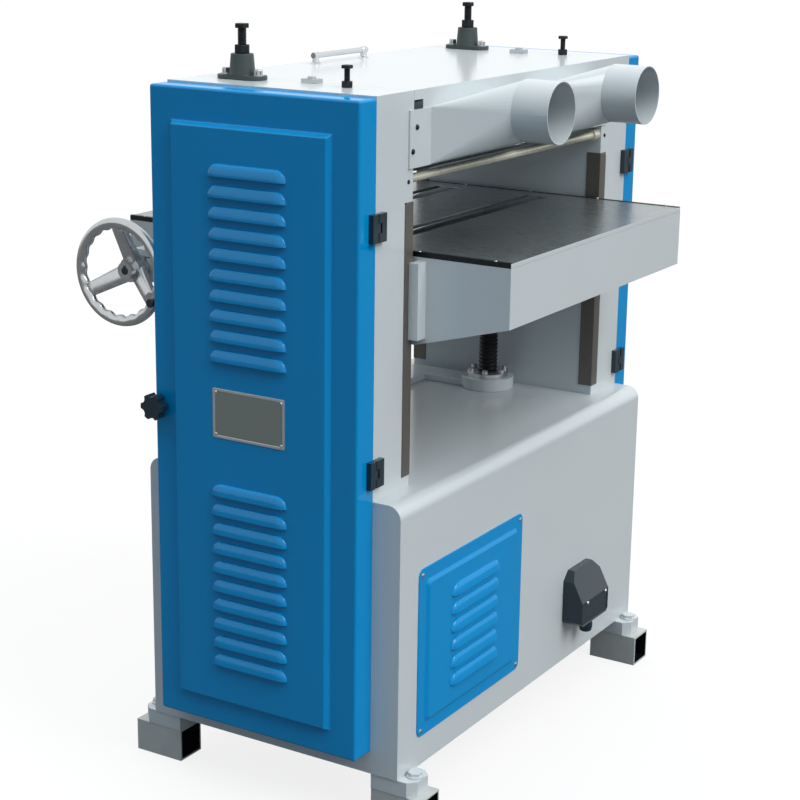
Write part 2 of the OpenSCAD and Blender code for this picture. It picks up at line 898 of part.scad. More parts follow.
module table_casting() {
  top = table_z - table_top_t;
  wall_x = table_w / 2 - table_wall;
  boss_z = table_z - table_mid_h + table_wall;
  color(paint) difference() {
    union() {
      difference() {
        translate([-table_w / 2, 0, 0]) along_x(table_w) table_outline(0, top, 0);
        translate([-wall_x, 0, 0]) along_x(2 * wall_x)
          table_outline(table_wall, top - table_wall, table_mid_h);
      }
      for (y = [-rib_y, rib_y, -half_d, half_d])
        slab([-wall_x, y - table_wall / 2, table_z - table_mid_h + rib_up],
             [wall_x, y + table_wall / 2, top - table_wall]);
      both_sides() {
        translate([screw_x, 0, boss_z]) cylinder(r = screw_boss_r, h = top - boss_z);
        for (y = [-bed_roller_y, bed_roller_y])
          slab([wall_x - bed_block_t, y - bed_block_w / 2, bed_z - bed_block_h / 2],
               [wall_x, y + bed_block_w / 2, bed_z + bed_block_h / 2 - bed_slot_gap]);
        front_and_back()
          slab([wall_x, -half_d - way_proud - gap - shoe_t, table_z - table_mid_h + rib_up],
               [in_x + way_w - shoe_back, -half_d - way_proud - gap, top - shoe_drop]);
      }
    }
    bed_slots(top);
    both_sides() {
      translate([screw_x, 0, boss_z - cut]) cylinder(r = screw_r, h = screw_seat + cut);
      for (y = [-bed_roller_y, bed_roller_y])
        translate([wall_x - bed_block_t - cut, y, bed_z])
          rod_x(bed_shaft_r + run, bed_block_t + cut);
    }
  }
}

module table_top() {
  color(dark_steel) difference() {
    slab([-table_w / 2, -table_len / 2, table_z - table_top_t],
         [table_w / 2, table_len / 2 + table_back, table_z]);
    for (y = [-bed_roller_y, bed_roller_y])
      slab([-bed_roller_len / 2 - bed_slot_gap, y - bed_slot_w / 2, table_z - table_top_t - cut],
           [bed_roller_len / 2 + bed_slot_gap, y + bed_slot_w / 2, table_z + cut]);
  }
}

module bed_roller(y) {
  shaft_x = table_w / 2 - table_wall - gap;
  color(steel) translate([0, y, bed_z]) {
    translate([-bed_roller_len / 2, 0, 0]) rod_x(bed_roller_r, bed_roller_len);
    translate([-shaft_x, 0, 0]) rod_x(bed_shaft_r, 2 * shaft_x);
  }
}

module front_bed_roller() { bed_roller(-bed_roller_y); }
module rear_bed_roller() { bed_roller(bed_roller_y); }

module lift_screws() {
  top = table_z - table_mid_h + table_wall + screw_seat;
  color(black) both_sides() translate([screw_x, 0, screw_low_z])
    cylinder(r = screw_r, h = top - screw_low_z);
}

// Casting on the deck: a ring round each lift nut, joined by a bridge that runs round the back
module lift_bridge() {
  color(paint) translate([0, 0, deck_z]) difference() {
    union() {
      both_sides() translate([screw_x, 0, 0]) cylinder(r = ring_r, h = ring_h);
      linear_extrude(bridge_h) difference() {
        translate([-screw_x - bridge_w / 2, 0]) square([2 * screw_x + bridge_w, bridge_y]);
        translate([bridge_w / 2 - screw_x, -cut])
          square([2 * screw_x - bridge_w, bridge_y - bridge_w + cut]);
      }
    }
    both_sides() translate([screw_x, 0, -cut]) cylinder(r = nut_r + run, h = ring_h + 2 * cut);
  }
}

module lift_nut() {
  color("#B08D4A") translate([screw_x, 0, 0]) difference() {
    union() {
      translate([0, 0, nut_low_z]) cylinder(r = nut_r, h = deck_z + ring_h + gap - nut_low_z);
      translate([0, 0, deck_z + ring_h + gap]) cylinder(r = nut_flange_r, h = nut_flange_t);
      translate([0, 0, nut_low_z]) cylinder(r = lift_sprocket_r, h = lift_sprocket_t);
    }
    translate([0, 0, nut_low_z - cut])
      cylinder(r = screw_r + run, h = deck_z - nut_low_z + ring_h + gap + nut_flange_t + 2 * cut);
  }
}

module left_lift_nut() { mirror([1, 0, 0]) lift_nut(); }
module right_lift_nut() { lift_nut(); }

module lift_loop(extra) {
  hull() {
    both_sides() translate([screw_x, 0]) circle(lift_sprocket_r + extra);
    translate([-lift_shaft_x, lift_shaft_y]) circle(lift_pinion_r + extra);
  }
}

module lift_chain() {
  color(iron) translate([0, 0, nut_low_z]) linear_extrude(lift_sprocket_t) difference() {
    lift_loop(gap + lift_chain_t);
    lift_loop(gap);
  }
}

module lift_shaft() {
  color(steel) translate([-lift_shaft_x, lift_shaft_y, nut_low_z]) {
    cylinder(r = lift_pinion_r, h = lift_sprocket_t);
    cylinder(r = lift_shaft_r, h = gearbox_z + gearbox_wall - nut_low_z);
    translate([0, 0, deck_z - nut_low_z + gap]) cylinder(r = lift_collar_r, h = lift_sprocket_t);
  }
}

module lift_gearbox() {
  back_y = gearbox_back_y - half_d;
  color(paint) difference() {
    translate([-gearbox_x, half_d, gearbox_z]) union() {
      along_x(gearbox_w) {
        square([back_y - gearbox_round, gearbox_top_z - gearbox_z]);
        translate([0, gearbox_round])
          square([back_y, gearbox_top_z - gearbox_z - 2 * gearbox_round]);
        for (z = [gearbox_round, gearbox_top_z - gearbox_z - gearbox_round])
          translate([back_y - gearbox_round, z]) circle(gearbox_round);
      }
    }
    translate([-gearbox_x - cut, wheel_y, wheel_z])
      rod_x(wheel_shaft_r + run, gearbox_wall + cut);
    translate([-lift_shaft_x, lift_shaft_y, gearbox_z - cut])
      cylinder(r = lift_shaft_r + run, h = gearbox_wall + gap + cut);
  }
}

module wheel_spoke() {
  hull() {
    translate([wheel_x - gearbox_x - wheel_hub_len / 2, 0, 0])
      rod_x(wheel_spoke_r, wheel_spoke_t, $fn = 32);
    translate([-wheel_spoke_t / 2, 0, wheel_r - 2 * wheel_rim_r])
      rod_x(wheel_spoke_end_r, wheel_spoke_t, $fn = 32);
  }
}

module handwheel() {
  hub_x = wheel_x - gearbox_x - gap;
  color(silver) translate([-wheel_x, wheel_y, wheel_z]) {
    difference() {
      rotate([0, 90, 0]) rotate_extrude($fn = 96)
        translate([wheel_r - wheel_rim_r, 0]) circle(wheel_rim_r);
      for (i = [0 : wheel_grips - 1]) rotate([360 / wheel_grips * i, 0, 0])
        translate([-wheel_rim_r - cut, 0, wheel_r - 2 * wheel_rim_r - wheel_grip_r + wheel_grip_d])
          rod_x(wheel_grip_r, 2 * (wheel_rim_r + cut));
    }
    for (i = [0 : wheel_spokes - 1]) rotate([360 / wheel_spokes * i, 0, 0])
      wheel_spoke();
    translate([hub_x - wheel_hub_len, 0, 0]) {
      rod_x(wheel_hub_r, wheel_hub_len);
      translate([-wheel_boss_len, 0, 0]) rod_x(wheel_boss_r, wheel_boss_len + wheel_hub_len);
      rod_x(wheel_shaft_r, wheel_hub_len + gearbox_wall);
    }
  }
}

// One turn round the cutterhead for each knife
module each_knife() {
  for (i = [0 : knife_count - 1]) translate([-cutter_len / 2, cutter_y, cutter_z])
    rotate([360 / knife_count * i, 0, 0]) children();
}

module cutterhead() {
  left = pulley_x + pulley_w / 2;
  right = in_x + column_wall + housing_flange_t;
  color(steel) difference() {
    translate([0, cutter_y, cutter_z]) {
      translate([-cutter_len / 2, 0, 0]) rod_x(cutter_r, cutter_len);
      translate([-left, 0, 0]) rod_x(journal_r, left + right);
    }
    each_knife() slab([-cut, 0, cutter_r - slot_depth],
                      [cutter_len + cut, knife_t + wedge_t, cutter_r + cut]);
  }
}

module cutter_knives() {
  color(silver) each_knife() {
    slab([0, 0, cutter_r - slot_depth], [cutter_len, knife_t, cutting_r]);
    slab([0, knife_t, cutter_r - slot_depth], [cutter_len, knife_t + wedge_t, cutter_r - knife_t]);
  }
}

// A grooved pulley that starts at x = 0
module pulley(r, bore) {
  difference() {
    rod_x(r, pulley_w);
    translate([-cut, 0, 0]) rod_x(bore, pulley_w + 2 * cut);
    for (i = [0 : belt_count - 1])
      translate([belt_x(i) - belt_w / 2 - groove_clear, 0, 0]) difference() {
        rod_x(r + cut, belt_w + 2 * groove_clear);
        translate([-cut, 0, 0])
          rod_x(r - belt_t - groove_clear, belt_w + 2 * groove_clear + 2 * cut);
      }
  }
}

function belt_x(i) = pulley_w / 2 + (i - (belt_count - 1) / 2) * belt_pitch;

module cutter_pulley() {
  color(iron) translate([-pulley_x - pulley_w / 2, cutter_y, cutter_z])
    pulley(cutter_pulley_r, journal_r);
}

module cutter_bearings() {
  color(silver) both_sides() translate([in_x - housing_in + housing_lip, cutter_y, cutter_z])
    difference() {
      rod_x(bearing_r, bearing_w);
      translate([-cut, 0, 0]) rod_x(journal_r + run, bearing_w + 2 * cut);
    }
}

module bearing_housings() {
  len = housing_in + column_wall + housing_flange_t;
  color(iron) both_sides() translate([in_x - housing_in, cutter_y, cutter_z]) difference() {
    union() {
      rod_x(housing_r, len);
      translate([housing_in + column_wall, 0, 0]) rod_x(housing_flange_r, housing_flange_t);
    }
    translate([housing_lip, 0, 0]) rod_x(bearing_r, len);
    translate([-cut, 0, 0]) rod_x(journal_r + housing_lip / 2, len);
  }
}

// A sprocket about the X axis, centred on x = 0
module sprocket() {
  translate([-sprocket_t / 2, 0, 0]) difference() {
    rod_x(sprocket_r, sprocket_t);
    for (i = [0 : sprocket_teeth - 1]) rotate([360 / sprocket_teeth * i, 0, 0])
      translate([-cut, 0, sprocket_r]) rod_x(chain_roller_r + gap, sprocket_t + 2 * cut);
  }
}

module feed_roller(y, chains) {
  left = in_x + block_t;
  right = roll_chain_x + sprocket_t;
  color(steel) translate([0, y, feed_z]) {
    translate([-feed_len / 2, 0, 0]) rod_x(feed_r, feed_len);
    translate([-left, 0, 0]) rod_x(feed_journal_r, left + right);
    for (x = chains) translate([x, 0, 0]) sprocket();
  }
}

module infeed_roller() {
  difference() {
    feed_roller(infeed_y, [feed_chain_x, roll_chain_x]);
    for (i = [0 : feed_flutes - 1]) translate([-feed_len / 2 - cut, infeed_y, feed_z])
      rotate([360 / feed_flutes * i, 0, 0]) translate([0, 0, feed_r])
        rod_x(feed_flute_r, feed_len + 2 * cut);
  }
}

module outfeed_roller() { feed_roller(outfeed_y, [roll_chain_x]); }

module roller_blocks() {
  color(iron) both_sides() for (y = [infeed_y, outfeed_y]) difference() {
    slab([in_x, y - block_w / 2, feed_z - block_h / 2],
         [in_x + block_t, y + block_w / 2, block_top_z]);
    translate([in_x - cut, y, feed_z]) rod_x(feed_journal_r + run, block_t + 2 * cut);
  }
}

module chip_breaker() {
  color(iron) slab([gap - in_x, breaker_y - breaker_t / 2, breaker_z],
                   [in_x - gap, breaker_y + breaker_t / 2, breaker_top_z]);
}

module pressure_bar() {
  color(iron) slab([-in_x, press_y - press_t / 2, breaker_z],
                   [in_x, press_y + press_t / 2, breaker_top_z]);
}

module main_motor() {
  color(blue) difference() {
    translate([-motor_x, -motor_y, motor_z]) union() {
      rod_x(motor_r, motor_len);
      for (i = [0 : motor_fins - 1]) rotate([360 / motor_fins * i, 0, 0])
        slab([motor_cap, -motor_fin_t / 2, motor_r / 2],
             [motor_len - 2 * motor_cap, motor_fin_t / 2, motor_r + motor_fin_h]);
      translate([motor_len - motor_cap, 0, 0]) rod_x(motor_r + motor_fin_h, motor_cap);
      slab([motor_cap * 3 / 2, -motor_r, -motor_foot_h],
           [motor_len - motor_cap * 5 / 2, motor_r, motor_foot_t - motor_foot_h]);
    }
    translate([-motor_x - cut, -motor_y, motor_z]) rod_x(motor_shaft_r + run, motor_cap + gap + cut);
  }
}

module motor_pulley() {
  x = pulley_x + pulley_w / 2;
  color(iron) translate([-x, -motor_y, motor_z]) {
    pulley(motor_pulley_r, motor_shaft_r);
    rod_x(motor_shaft_r, x - motor_x + motor_cap);
  }
}

module belt_loop(inset) {
  hull() {
    translate([-motor_y, motor_z]) circle(motor_pulley_r - inset, $fn = 64);
    translate([cutter_y, cutter_z]) circle(cutter_pulley_r - inset, $fn = 64);
  }
}

module v_belts() {
  color(black) for (i = [0 : belt_count - 1])
    translate([-pulley_x - pulley_w / 2 + belt_x(i) - belt_w / 2, 0, 0]) along_x(belt_w)
      difference() {
        belt_loop(0);
        belt_loop(belt_t);
      }
}

module feed_gear_motor() {
  box_x = feed_chain_x - feed_box_gap;
  color(blue) difference() {
    union() {
      slab([box_x - feed_box_w, gear_y - feed_box_d / 2, gear_z - feed_box_h / 2],
           [box_x, gear_y + feed_box_d / 2, gear_z + feed_box_h / 2]);
      slab([box_x - feed_box_w, gear_y - feed_box_d / 3, shelf_z + shelf_t],
           [box_x, gear_y + feed_box_d / 3, gear_z]);
      translate([box_x - feed_box_w - feed_motor_len, gear_y, gear_z])
        rod_x(feed_motor_r, feed_motor_len);
    }
    translate([box_x - feed_box_w / 2, gear_y, gear_z])
      rod_x(feed_shaft_r + run, feed_box_w / 2 + cut);
  }
}

module feed_sprocket() {
  x = feed_chain_x - feed_box_gap - feed_box_w / 2;
  color(steel) translate([0, gear_y, gear_z]) {
    translate([feed_chain_x, 0, 0]) sprocket();
    translate([x + gap, 0, 0]) rod_x(feed_shaft_r, feed_chain_x + sprocket_t - x);
  }
}

// Outline of a chain that runs along X between two equal sprockets
module chain_band(len, extra) {
  r = sprocket_r + extra;
  circle(r);
  translate([len, 0]) circle(r);
  translate([0, -r]) square([len, 2 * r]);
}

// Roller places on the two straight runs of such a chain, clear of the sprockets
module chain_rollers(links) {
  for (k = [2 : links - 2], side = [-1, 1])
    translate([k * chain_pitch, side * sprocket_r]) circle(chain_roller_r);
}

// A roller chain centred on x: two rows of plates with rollers between them
module chain(x, turn, links) {
  half = chain_inner / 2;
  translate([x - half, 0, 0]) along_x(chain_inner) rotate(turn) chain_rollers(links);
  for (side = [-half - chain_plate_t, half])
    translate([x + side, 0, 0]) along_x(chain_plate_t) rotate(turn) difference() {
      chain_band(links * chain_pitch, chain_plate_h / 2);
      chain_band(links * chain_pitch, -chain_plate_h / 2);
    }
}

module feed_chains() {
  color(iron) {
    translate([0, gear_y, gear_z]) chain(feed_chain_x, 90, chain_drop);
    translate([0, outfeed_y, feed_z]) chain(roll_chain_x, 0, chain_span);
  }
}

module front_panel() {
  inner_w = front_panel_w - 2 * front_panel_in;
  inner_h = front_panel_h - 2 * front_panel_in;
  color(blue) translate([front_panel_x, -base_y, front_panel_z]) difference() {
    union() {
      rotate([90, 0, 0]) {
        linear_extrude(front_panel_t) round_rect(front_panel_w, front_panel_h, front_panel_round);
        linear_extrude(front_panel_t + front_panel_rise)
          round_rect(inner_w, inner_h, front_panel_round);
      }
      front_panel_louvres() louvre(front_louvre_w);
    }
    translate([0, cut, 0]) rotate([90, 0, 0]) linear_extrude(front_panel_rise + cut)
      round_rect(inner_w - 2 * front_panel_t, inner_h - 2 * front_panel_t,
                 front_panel_round - front_panel_t);
    front_panel_louvres() louvre_slit(front_louvre_w, front_panel_t);
  }
}

module front_panel_louvres() {
  for (i = [0 : front_louvres - 1])
    translate([0, -front_panel_t - front_panel_rise,
               (i - (front_louvres - 1) / 2) * front_louvre_pitch - louvre_h / 2])
      rotate(-90) children();
}

// Front view of the terminal box, its corners cut off
module box_face(x) {
  polygon([[box_low_corner - x, 0], [x - box_low_corner, 0], [x, box_low_corner],
           [x, box_h - box_corner], [x - box_corner, box_h], [box_corner - x, box_h],
           [-x, box_h - box_corner], [-x, box_low_corner]]);
}

module terminal_box() {
  color(black) difference() {
    intersection() {
      translate([box_x - box_w / 2, -base_y, box_z]) along_x(box_w)
        polygon([[0, 0], [-box_d, 0], [-box_d, box_crease], [-box_top_d, box_h], [0, box_h]]);
      translate([box_x, -base_y, box_z]) rotate([90, 0, 0]) linear_extrude(box_d) box_face(box_w / 2);
    }
    translate([box_x, -gland_y, box_z - cut]) cylinder(r = gland_r, h = gland_h / 2 + cut);
  }
}

module cable_gland() {
  color(black) translate([box_x, -gland_y, box_z - gland_h]) difference() {
    union() {
      cylinder(r = gland_out_r, h = gland_h);
      translate([0, 0, gland_h / 2]) cylinder(r = gland_out_r + gland_h / 8, h = gland_h / 3, $fn = 6);
    }
    translate([0, 0, -cut]) cylinder(r = gland_r, h = gland_h + 2 * cut);
  }
}

base_shell();
side_plates();
foot_lugs();
foot_tubes();
foot_bolts();
machine_shelves();
left_column();
right_column();
guide_ways();
front_bar();
rear_beam();
left_hood();
right_hood();
front_panel();
terminal_box();
cable_gland();
left_door();
right_door();
left_door_hinges();
right_door_hinges();
column_hinges();
left_door_knob();
right_door_knob();
top_cover();
cover_handle();
cover_hinge_blocks();
spring_posts();
left_spring_screw();
right_spring_screw();
left_stop_screw();
right_stop_screw();
oil_caps();
table_casting();
table_top();
front_bed_roller();
rear_bed_roller();
lift_screws();
lift_bridge();
left_lift_nut();
right_lift_nut();
lift_chain();
lift_shaft();
lift_gearbox();
handwheel();
cutterhead();
cutter_knives();
cutter_pulley();
cutter_bearings();
bearing_housings();
infeed_roller();
outfeed_roller();
roller_blocks();
chip_breaker();
pressure_bar();
main_motor();
motor_pulley();
v_belts();
feed_gear_motor();
feed_sprocket();
feed_chains();
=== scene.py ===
# %% [markdown]
# # Dressing a floor-standing thicknesser
# A thicknesser planes boards to an even thickness: two feed rollers pull a board between a table
# that rises on two screws and a spinning cutterhead. The solids come from CAD and stay where they
# are. This lesson gives them their sheet-metal edges, pressed doors, threads, screws and finishes.

# %% Load the frame
import json
import math

import bmesh
import bpy
from mathutils import Matrix, Vector


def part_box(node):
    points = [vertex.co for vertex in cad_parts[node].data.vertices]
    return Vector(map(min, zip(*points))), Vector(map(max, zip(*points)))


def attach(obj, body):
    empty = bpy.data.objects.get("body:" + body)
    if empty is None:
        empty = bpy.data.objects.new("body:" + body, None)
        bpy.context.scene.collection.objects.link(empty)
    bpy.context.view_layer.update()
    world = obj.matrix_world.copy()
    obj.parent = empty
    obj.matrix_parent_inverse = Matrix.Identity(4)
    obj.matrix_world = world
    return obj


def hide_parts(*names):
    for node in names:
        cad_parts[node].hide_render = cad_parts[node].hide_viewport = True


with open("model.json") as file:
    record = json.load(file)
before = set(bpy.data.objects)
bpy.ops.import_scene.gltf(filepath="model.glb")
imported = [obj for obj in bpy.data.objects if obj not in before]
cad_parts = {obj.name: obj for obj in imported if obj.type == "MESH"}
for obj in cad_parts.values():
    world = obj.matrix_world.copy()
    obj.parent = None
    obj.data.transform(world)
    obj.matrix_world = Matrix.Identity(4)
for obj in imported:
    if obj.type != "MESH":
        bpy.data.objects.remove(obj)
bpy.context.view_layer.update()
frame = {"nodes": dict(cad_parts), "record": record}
nodes = frame["nodes"]
MM = 0.001
home = {node: body for body, members in frame["record"]["behaviour"]["bodies"].items() for node in members}
slot_of = {part["node"]: part["material_slot"] for part in frame["record"]["subparts"]}

# %% [markdown]
# ## Camera
# A long lens from the machine's left front keeps the upright edges almost parallel. The place,
# turn and focal length were fitted to the door's corners, so they are written as plain numbers.
# Blender's camera looks along its own -Z, so its axes are right, up and the reverse of ahead.

# %% Camera at the photograph's place
eye = Vector((-2943.7, -1761.7, 1551.7)) * MM
turn, dip, roll = -1.025, 0.268, 0.014
ahead = Vector((-math.sin(turn) * math.cos(dip), math.cos(turn) * math.cos(dip), -math.sin(dip)))
right = Vector((math.cos(turn), math.sin(turn), 0))
up = right.cross(ahead)
right, up = right * math.cos(roll) + up * math.sin(roll), up * math.cos(roll) - right * math.sin(roll)
camera = bpy.data.objects.new("camera", bpy.data.cameras.new("camera"))
bpy.context.scene.collection.objects.link(camera)
camera.data.sensor_width = 36
camera.data.lens = 85.13
camera.matrix_world = Matrix.Translation(eye) @ Matrix((right, up, -ahead)).transposed().to_4x4()
bpy.context.scene.camera = camera
bpy.context.scene.view_settings.view_transform = "Standard"
print("camera looks along", [round(v, 3) for v in ahead])

# %% [markdown]
# ## Light and floor
# Product pictures of machines are lit softly from above and in front, before a white sweep. The
# sky here has three parts: a bright box overhead, a white wall behind the machine and a weak
# fill in front, with the left side left dim. So tops and bevels shine, fronts are even and the
# left side falls off. One wide sun adds direction, and a weak cool one fills the left side. The
# camera and mirrors see a plain white sky, so gloss and metal pick up the white sweep. The floor
# looks white too, but mirrors dimmer.


# %% A soft-box sky and two wide suns
def seen_directly(tree, in_gloss):
    path = tree.nodes.new("ShaderNodeLightPath")
    gloss = tree.nodes.new("ShaderNodeMath")
    gloss.operation = "MULTIPLY"
    gloss.inputs[1].default_value = in_gloss
    tree.links.new(path.outputs["Is Glossy Ray"], gloss.inputs[0])
    total = gloss
    for ray in ("Is Camera Ray", "Is Transmission Ray"):
        add = tree.nodes.new("ShaderNodeMath")
        add.use_clamp = True
        tree.links.new(path.outputs[ray], add.inputs[0])
        tree.links.new(total.outputs[0], add.inputs[1])
        total = add
    return total.outputs[0]


def ramp(tree, value, start, end, low, high):
    node = tree.nodes.new("ShaderNodeMapRange")
    node.interpolation_type = "SMOOTHSTEP"
    for name, number in (("From Min", start), ("From Max", end), ("To Min", low), ("To Max", high)):
        node.inputs[name].default_value = number
    tree.links.new(value, node.inputs["Value"])
    return node.outputs[0]


world = bpy.data.worlds.new("white_sky")
bpy.context.scene.world = world
world.use_nodes = True
sky = world.node_tree
looks = sky.nodes.new("ShaderNodeTexCoord")
axes = sky.nodes.new("ShaderNodeSeparateXYZ")
sky.links.new(looks.outputs["Generated"], axes.inputs[0])
behind = sky.nodes.new("ShaderNodeVectorMath")
behind.operation = "DOT_PRODUCT"
behind.inputs[1].default_value = (0.82, 0.55, 0.15)
sky.links.new(looks.outputs["Generated"], behind.inputs[0])
box_light = ramp(sky, axes.outputs["Z"], 0.6, 0.95, 0.06, 1.65)
wall_light = ramp(sky, behind.outputs["Value"], 0.0, 0.7, 0.0, 0.85)
front_fill = ramp(sky, axes.outputs["Y"], -0.3, -0.95, 0.0, 0.35)
sky_light = box_light
for part in (wall_light, front_fill):
    add = sky.nodes.new("ShaderNodeMath")
    sky.links.new(sky_light, add.inputs[0])
    sky.links.new(part, add.inputs[1])
    sky_light = add.outputs[0]
level = sky.nodes.new("ShaderNodeMapRange")
level.inputs["To Max"].default_value = 1.0
sky.links.new(seen_directly(sky, 1.0), level.inputs["Value"])
sky.links.new(sky_light, level.inputs["To Min"])
sky.nodes["Background"].inputs["Color"].default_value = (1, 1, 1, 1)
sky.links.new(level.outputs[0], sky.nodes["Background"].inputs["Strength"])


def sun(name, towards, strength, softness):
    lamp = bpy.data.lights.new(name, "SUN")
    lamp.energy = strength
    lamp.angle = math.radians(softness)
    obj = bpy.data.objects.new(name, lamp)
    obj.rotation_euler = Vector(towards).to_track_quat("-Z", "Y").to_euler()
    bpy.context.scene.collection.objects.link(obj)
    return obj


sun("sun_front", (0.05, 0.76, -0.65), 1.8, 35)
cool = sun("cool_left", (0.9, 0.15, -0.4), 0.55, 120)
cool.data.color = (0.42, 0.72, 1.0)
cool.visible_glossy = False
print("suns:", [lamp.name for lamp in bpy.data.lights])

# %% Floor that stays white and keeps the shadow
floor_tone, floor_glow, floor_in_gloss = 0.13, 0.84, 0.05
bm = bmesh.new()
bmesh.ops.create_grid(bm, x_segments=2, y_segments=2, size=40)
floor_mesh = bpy.data.meshes.new("floor")
bm.to_mesh(floor_mesh)
bm.free()
floor = bpy.data.objects.new("floor", floor_mesh)
bpy.context.scene.collection.objects.link(floor)
pale = bpy.data.materials.new("pale_floor")
pale.use_nodes = True
shader = pale.node_tree.nodes["Principled BSDF"]
shader.inputs["Base Color"].default_value = (floor_tone, floor_tone, floor_tone, 1)
shader.inputs["Roughness"].default_value = 0.9
shader.inputs["Specular IOR Level"].default_value = 0.0
glow = pale.node_tree.nodes.new("ShaderNodeMath")
glow.operation = "MULTIPLY"
glow.inputs[1].default_value = floor_glow
pale.node_tree.links.new(seen_directly(pale.node_tree, floor_in_gloss), glow.inputs[0])
shader.inputs["Emission Color"].default_value = (1, 1, 1, 1)
pale.node_tree.links.new(glow.outputs[0], shader.inputs["Emission Strength"])
floor_mesh.materials.append(pale)
print("floor", len(floor_mesh.polygons), "faces")

# %% [markdown]
# ## Finishes
# Every finish here is one Principled shader with two noises. The broad one shifts the colour a
# little, as paint and metal never have one even tone. The fine one bumps the surface: orange peel
# on sprayed paint, grain on moulded plastic, drawn lines on ground steel. The roughness follows
# the fine noise where it is stretched into lines, and else the broad one, so highlights break up.
# Both read Object coordinates, in metres, so the grain has its real size.


# %% One recipe for paint, metal and plastic
def linear(hex_colour):
    parts = [int(hex_colour[i:i + 2], 16) / 255 for i in (1, 3, 5)]
    return [p / 12.92 if p <= 0.04045 else ((p + 0.055) / 1.055) ** 2.4 for p in parts]


def finish(name, colour, rough, metal=0.0, tone=0.06, broad=9, fine=900, bump=0.05, spread=0.06,
           stretch=(1, 1, 1), coat=0.0, polish=0.12, sheen=0.5):
    material = bpy.data.materials.new(name)
    material.use_nodes = True
    tree = material.node_tree
    shader = tree.nodes["Principled BSDF"]
    place = tree.nodes.new("ShaderNodeTexCoord")
    mapping = tree.nodes.new("ShaderNodeMapping")
    mapping.inputs["Scale"].default_value = stretch
    tree.links.new(place.outputs["Object"], mapping.inputs["Vector"])

    def noise(scale, detail):
        texture = tree.nodes.new("ShaderNodeTexNoise")
        texture.inputs["Scale"].default_value = scale
        texture.inputs["Detail"].default_value = detail
        tree.links.new(mapping.outputs["Vector"], texture.inputs["Vector"])
        return texture.outputs["Fac"]

    drift = noise(broad, 5)
    grain = noise(fine, 2)
    base = linear(colour)
    mix = tree.nodes.new("ShaderNodeMix")
    mix.data_type = "RGBA"
    mix.inputs["A"].default_value = [c * (1 - tone) for c in base] + [1]
    mix.inputs["B"].default_value = [min(1, c * (1 + tone)) for c in base] + [1]
    tree.links.new(drift, mix.inputs["Factor"])
    tree.links.new(mix.outputs["Result"], shader.inputs["Base Color"])
    rub = tree.nodes.new("ShaderNodeMapRange")
    rub.inputs["From Min"].default_value = 0.3
    rub.inputs["From Max"].default_value = 0.7
    rub.inputs["To Min"].default_value = max(0.02, rough - spread)
    rub.inputs["To Max"].default_value = rough + spread
    tree.links.new(grain if stretch != (1, 1, 1) else drift, rub.inputs["Value"])
    tree.links.new(rub.outputs[0], shader.inputs["Roughness"])
    relief = tree.nodes.new("ShaderNodeBump")
    relief.inputs["Strength"].default_value = bump
    relief.inputs["Distance"].default_value = 0.001
    tree.links.new(grain, relief.inputs["Height"])
    tree.links.new(relief.outputs["Normal"], shader.inputs["Normal"])
    shader.inputs["Metallic"].default_value = metal
    shader.inputs["Specular IOR Level"].default_value = sheen
    shader.inputs["Coat Weight"].default_value = coat
    shader.inputs["Coat Roughness"].default_value = polish
    return material


drawn_x, drawn_y, drawn_z = (0.05, 1, 1), (1, 0.03, 1), (1, 1, 0.04)
grey_paint = finish("grey_paint", "#CAD2D5", 0.45, tone=0.02, fine=1100, bump=0.05,
                    coat=0.8, polish=0.16, sheen=0.1)
blue_paint = finish("blue_paint", "#008FD0", 0.45, tone=0.03, fine=1100, bump=0.04,
                    coat=0.65, polish=0.06, sheen=0.0)
tube_steel = finish("tube_steel", "#BEC3C0", 0.50, metal=0.0, tone=0.12, broad=30, fine=1500, bump=0.1)
way_steel = finish("way_steel", "#66625D", 0.40, metal=0.35, tone=0.25, broad=14, fine=500,
                   stretch=drawn_z, bump=0.08)
bare_steel = finish("bare_steel", "#A7ABAE", 0.30, metal=1.0, tone=0.10, broad=20, fine=1400,
                    stretch=drawn_x, bump=0.06)
ground_steel = finish("ground_steel", "#929B9D", 0.28, metal=0.8, tone=0.16, broad=12, fine=1200,
                      stretch=drawn_y, bump=0.04)
dark_steel = finish("dark_steel", "#2B2E31", 0.38, metal=0.85, tone=0.2, broad=60, fine=1500, bump=0.08)
grey_iron = finish("grey_iron", "#5E6366", 0.58, metal=0.5, tone=0.16, broad=40, fine=700, bump=0.25)
black_plastic = finish("black_plastic", "#142A35", 0.50, tone=0.12, broad=50, fine=2200, bump=0.12,
                       coat=0.9, polish=0.22, sheen=0.1)
chrome = finish("chrome", "#D8DBDD", 0.10, metal=1.0, tone=0.03, fine=800, bump=0.01, spread=0.03)
aluminium = finish("aluminium", "#C3C6C8", 0.24, metal=1.0, tone=0.06, broad=40, fine=1300, bump=0.04)
zinc = finish("zinc", "#B9BDC0", 0.34, metal=1.0, tone=0.12, broad=90, fine=2500, bump=0.06)
post_paint = finish("post_paint", "#364140", 0.45, tone=0.14, broad=50, fine=900, bump=0.12)
edge_black = finish("edge_black", "#15181A", 0.40, metal=0.4, tone=0.15, broad=40, fine=1500, bump=0.06)
bronze = finish("bronze", "#A07A3C", 0.36, metal=1.0, tone=0.14, broad=40, fine=1200, bump=0.06)
rubber = finish("rubber", "#1B1B1C", 0.75, tone=0.2, broad=40, fine=1600, bump=0.2)
cream_bar = finish("cream_bar", "#CFCCBC", 0.30, metal=0.4, tone=0.06, broad=30, fine=1200,
                   stretch=drawn_x, bump=0.04)
plate_silver = finish("plate_silver", "#C4C8CA", 0.34, metal=0.75, tone=0.05, fine=2400,
                      stretch=drawn_y, bump=0.05)
plate_field = finish("plate_field", "#87908D", 0.42, metal=0.55, tone=0.08, fine=2400,
                     stretch=drawn_y, bump=0.04)
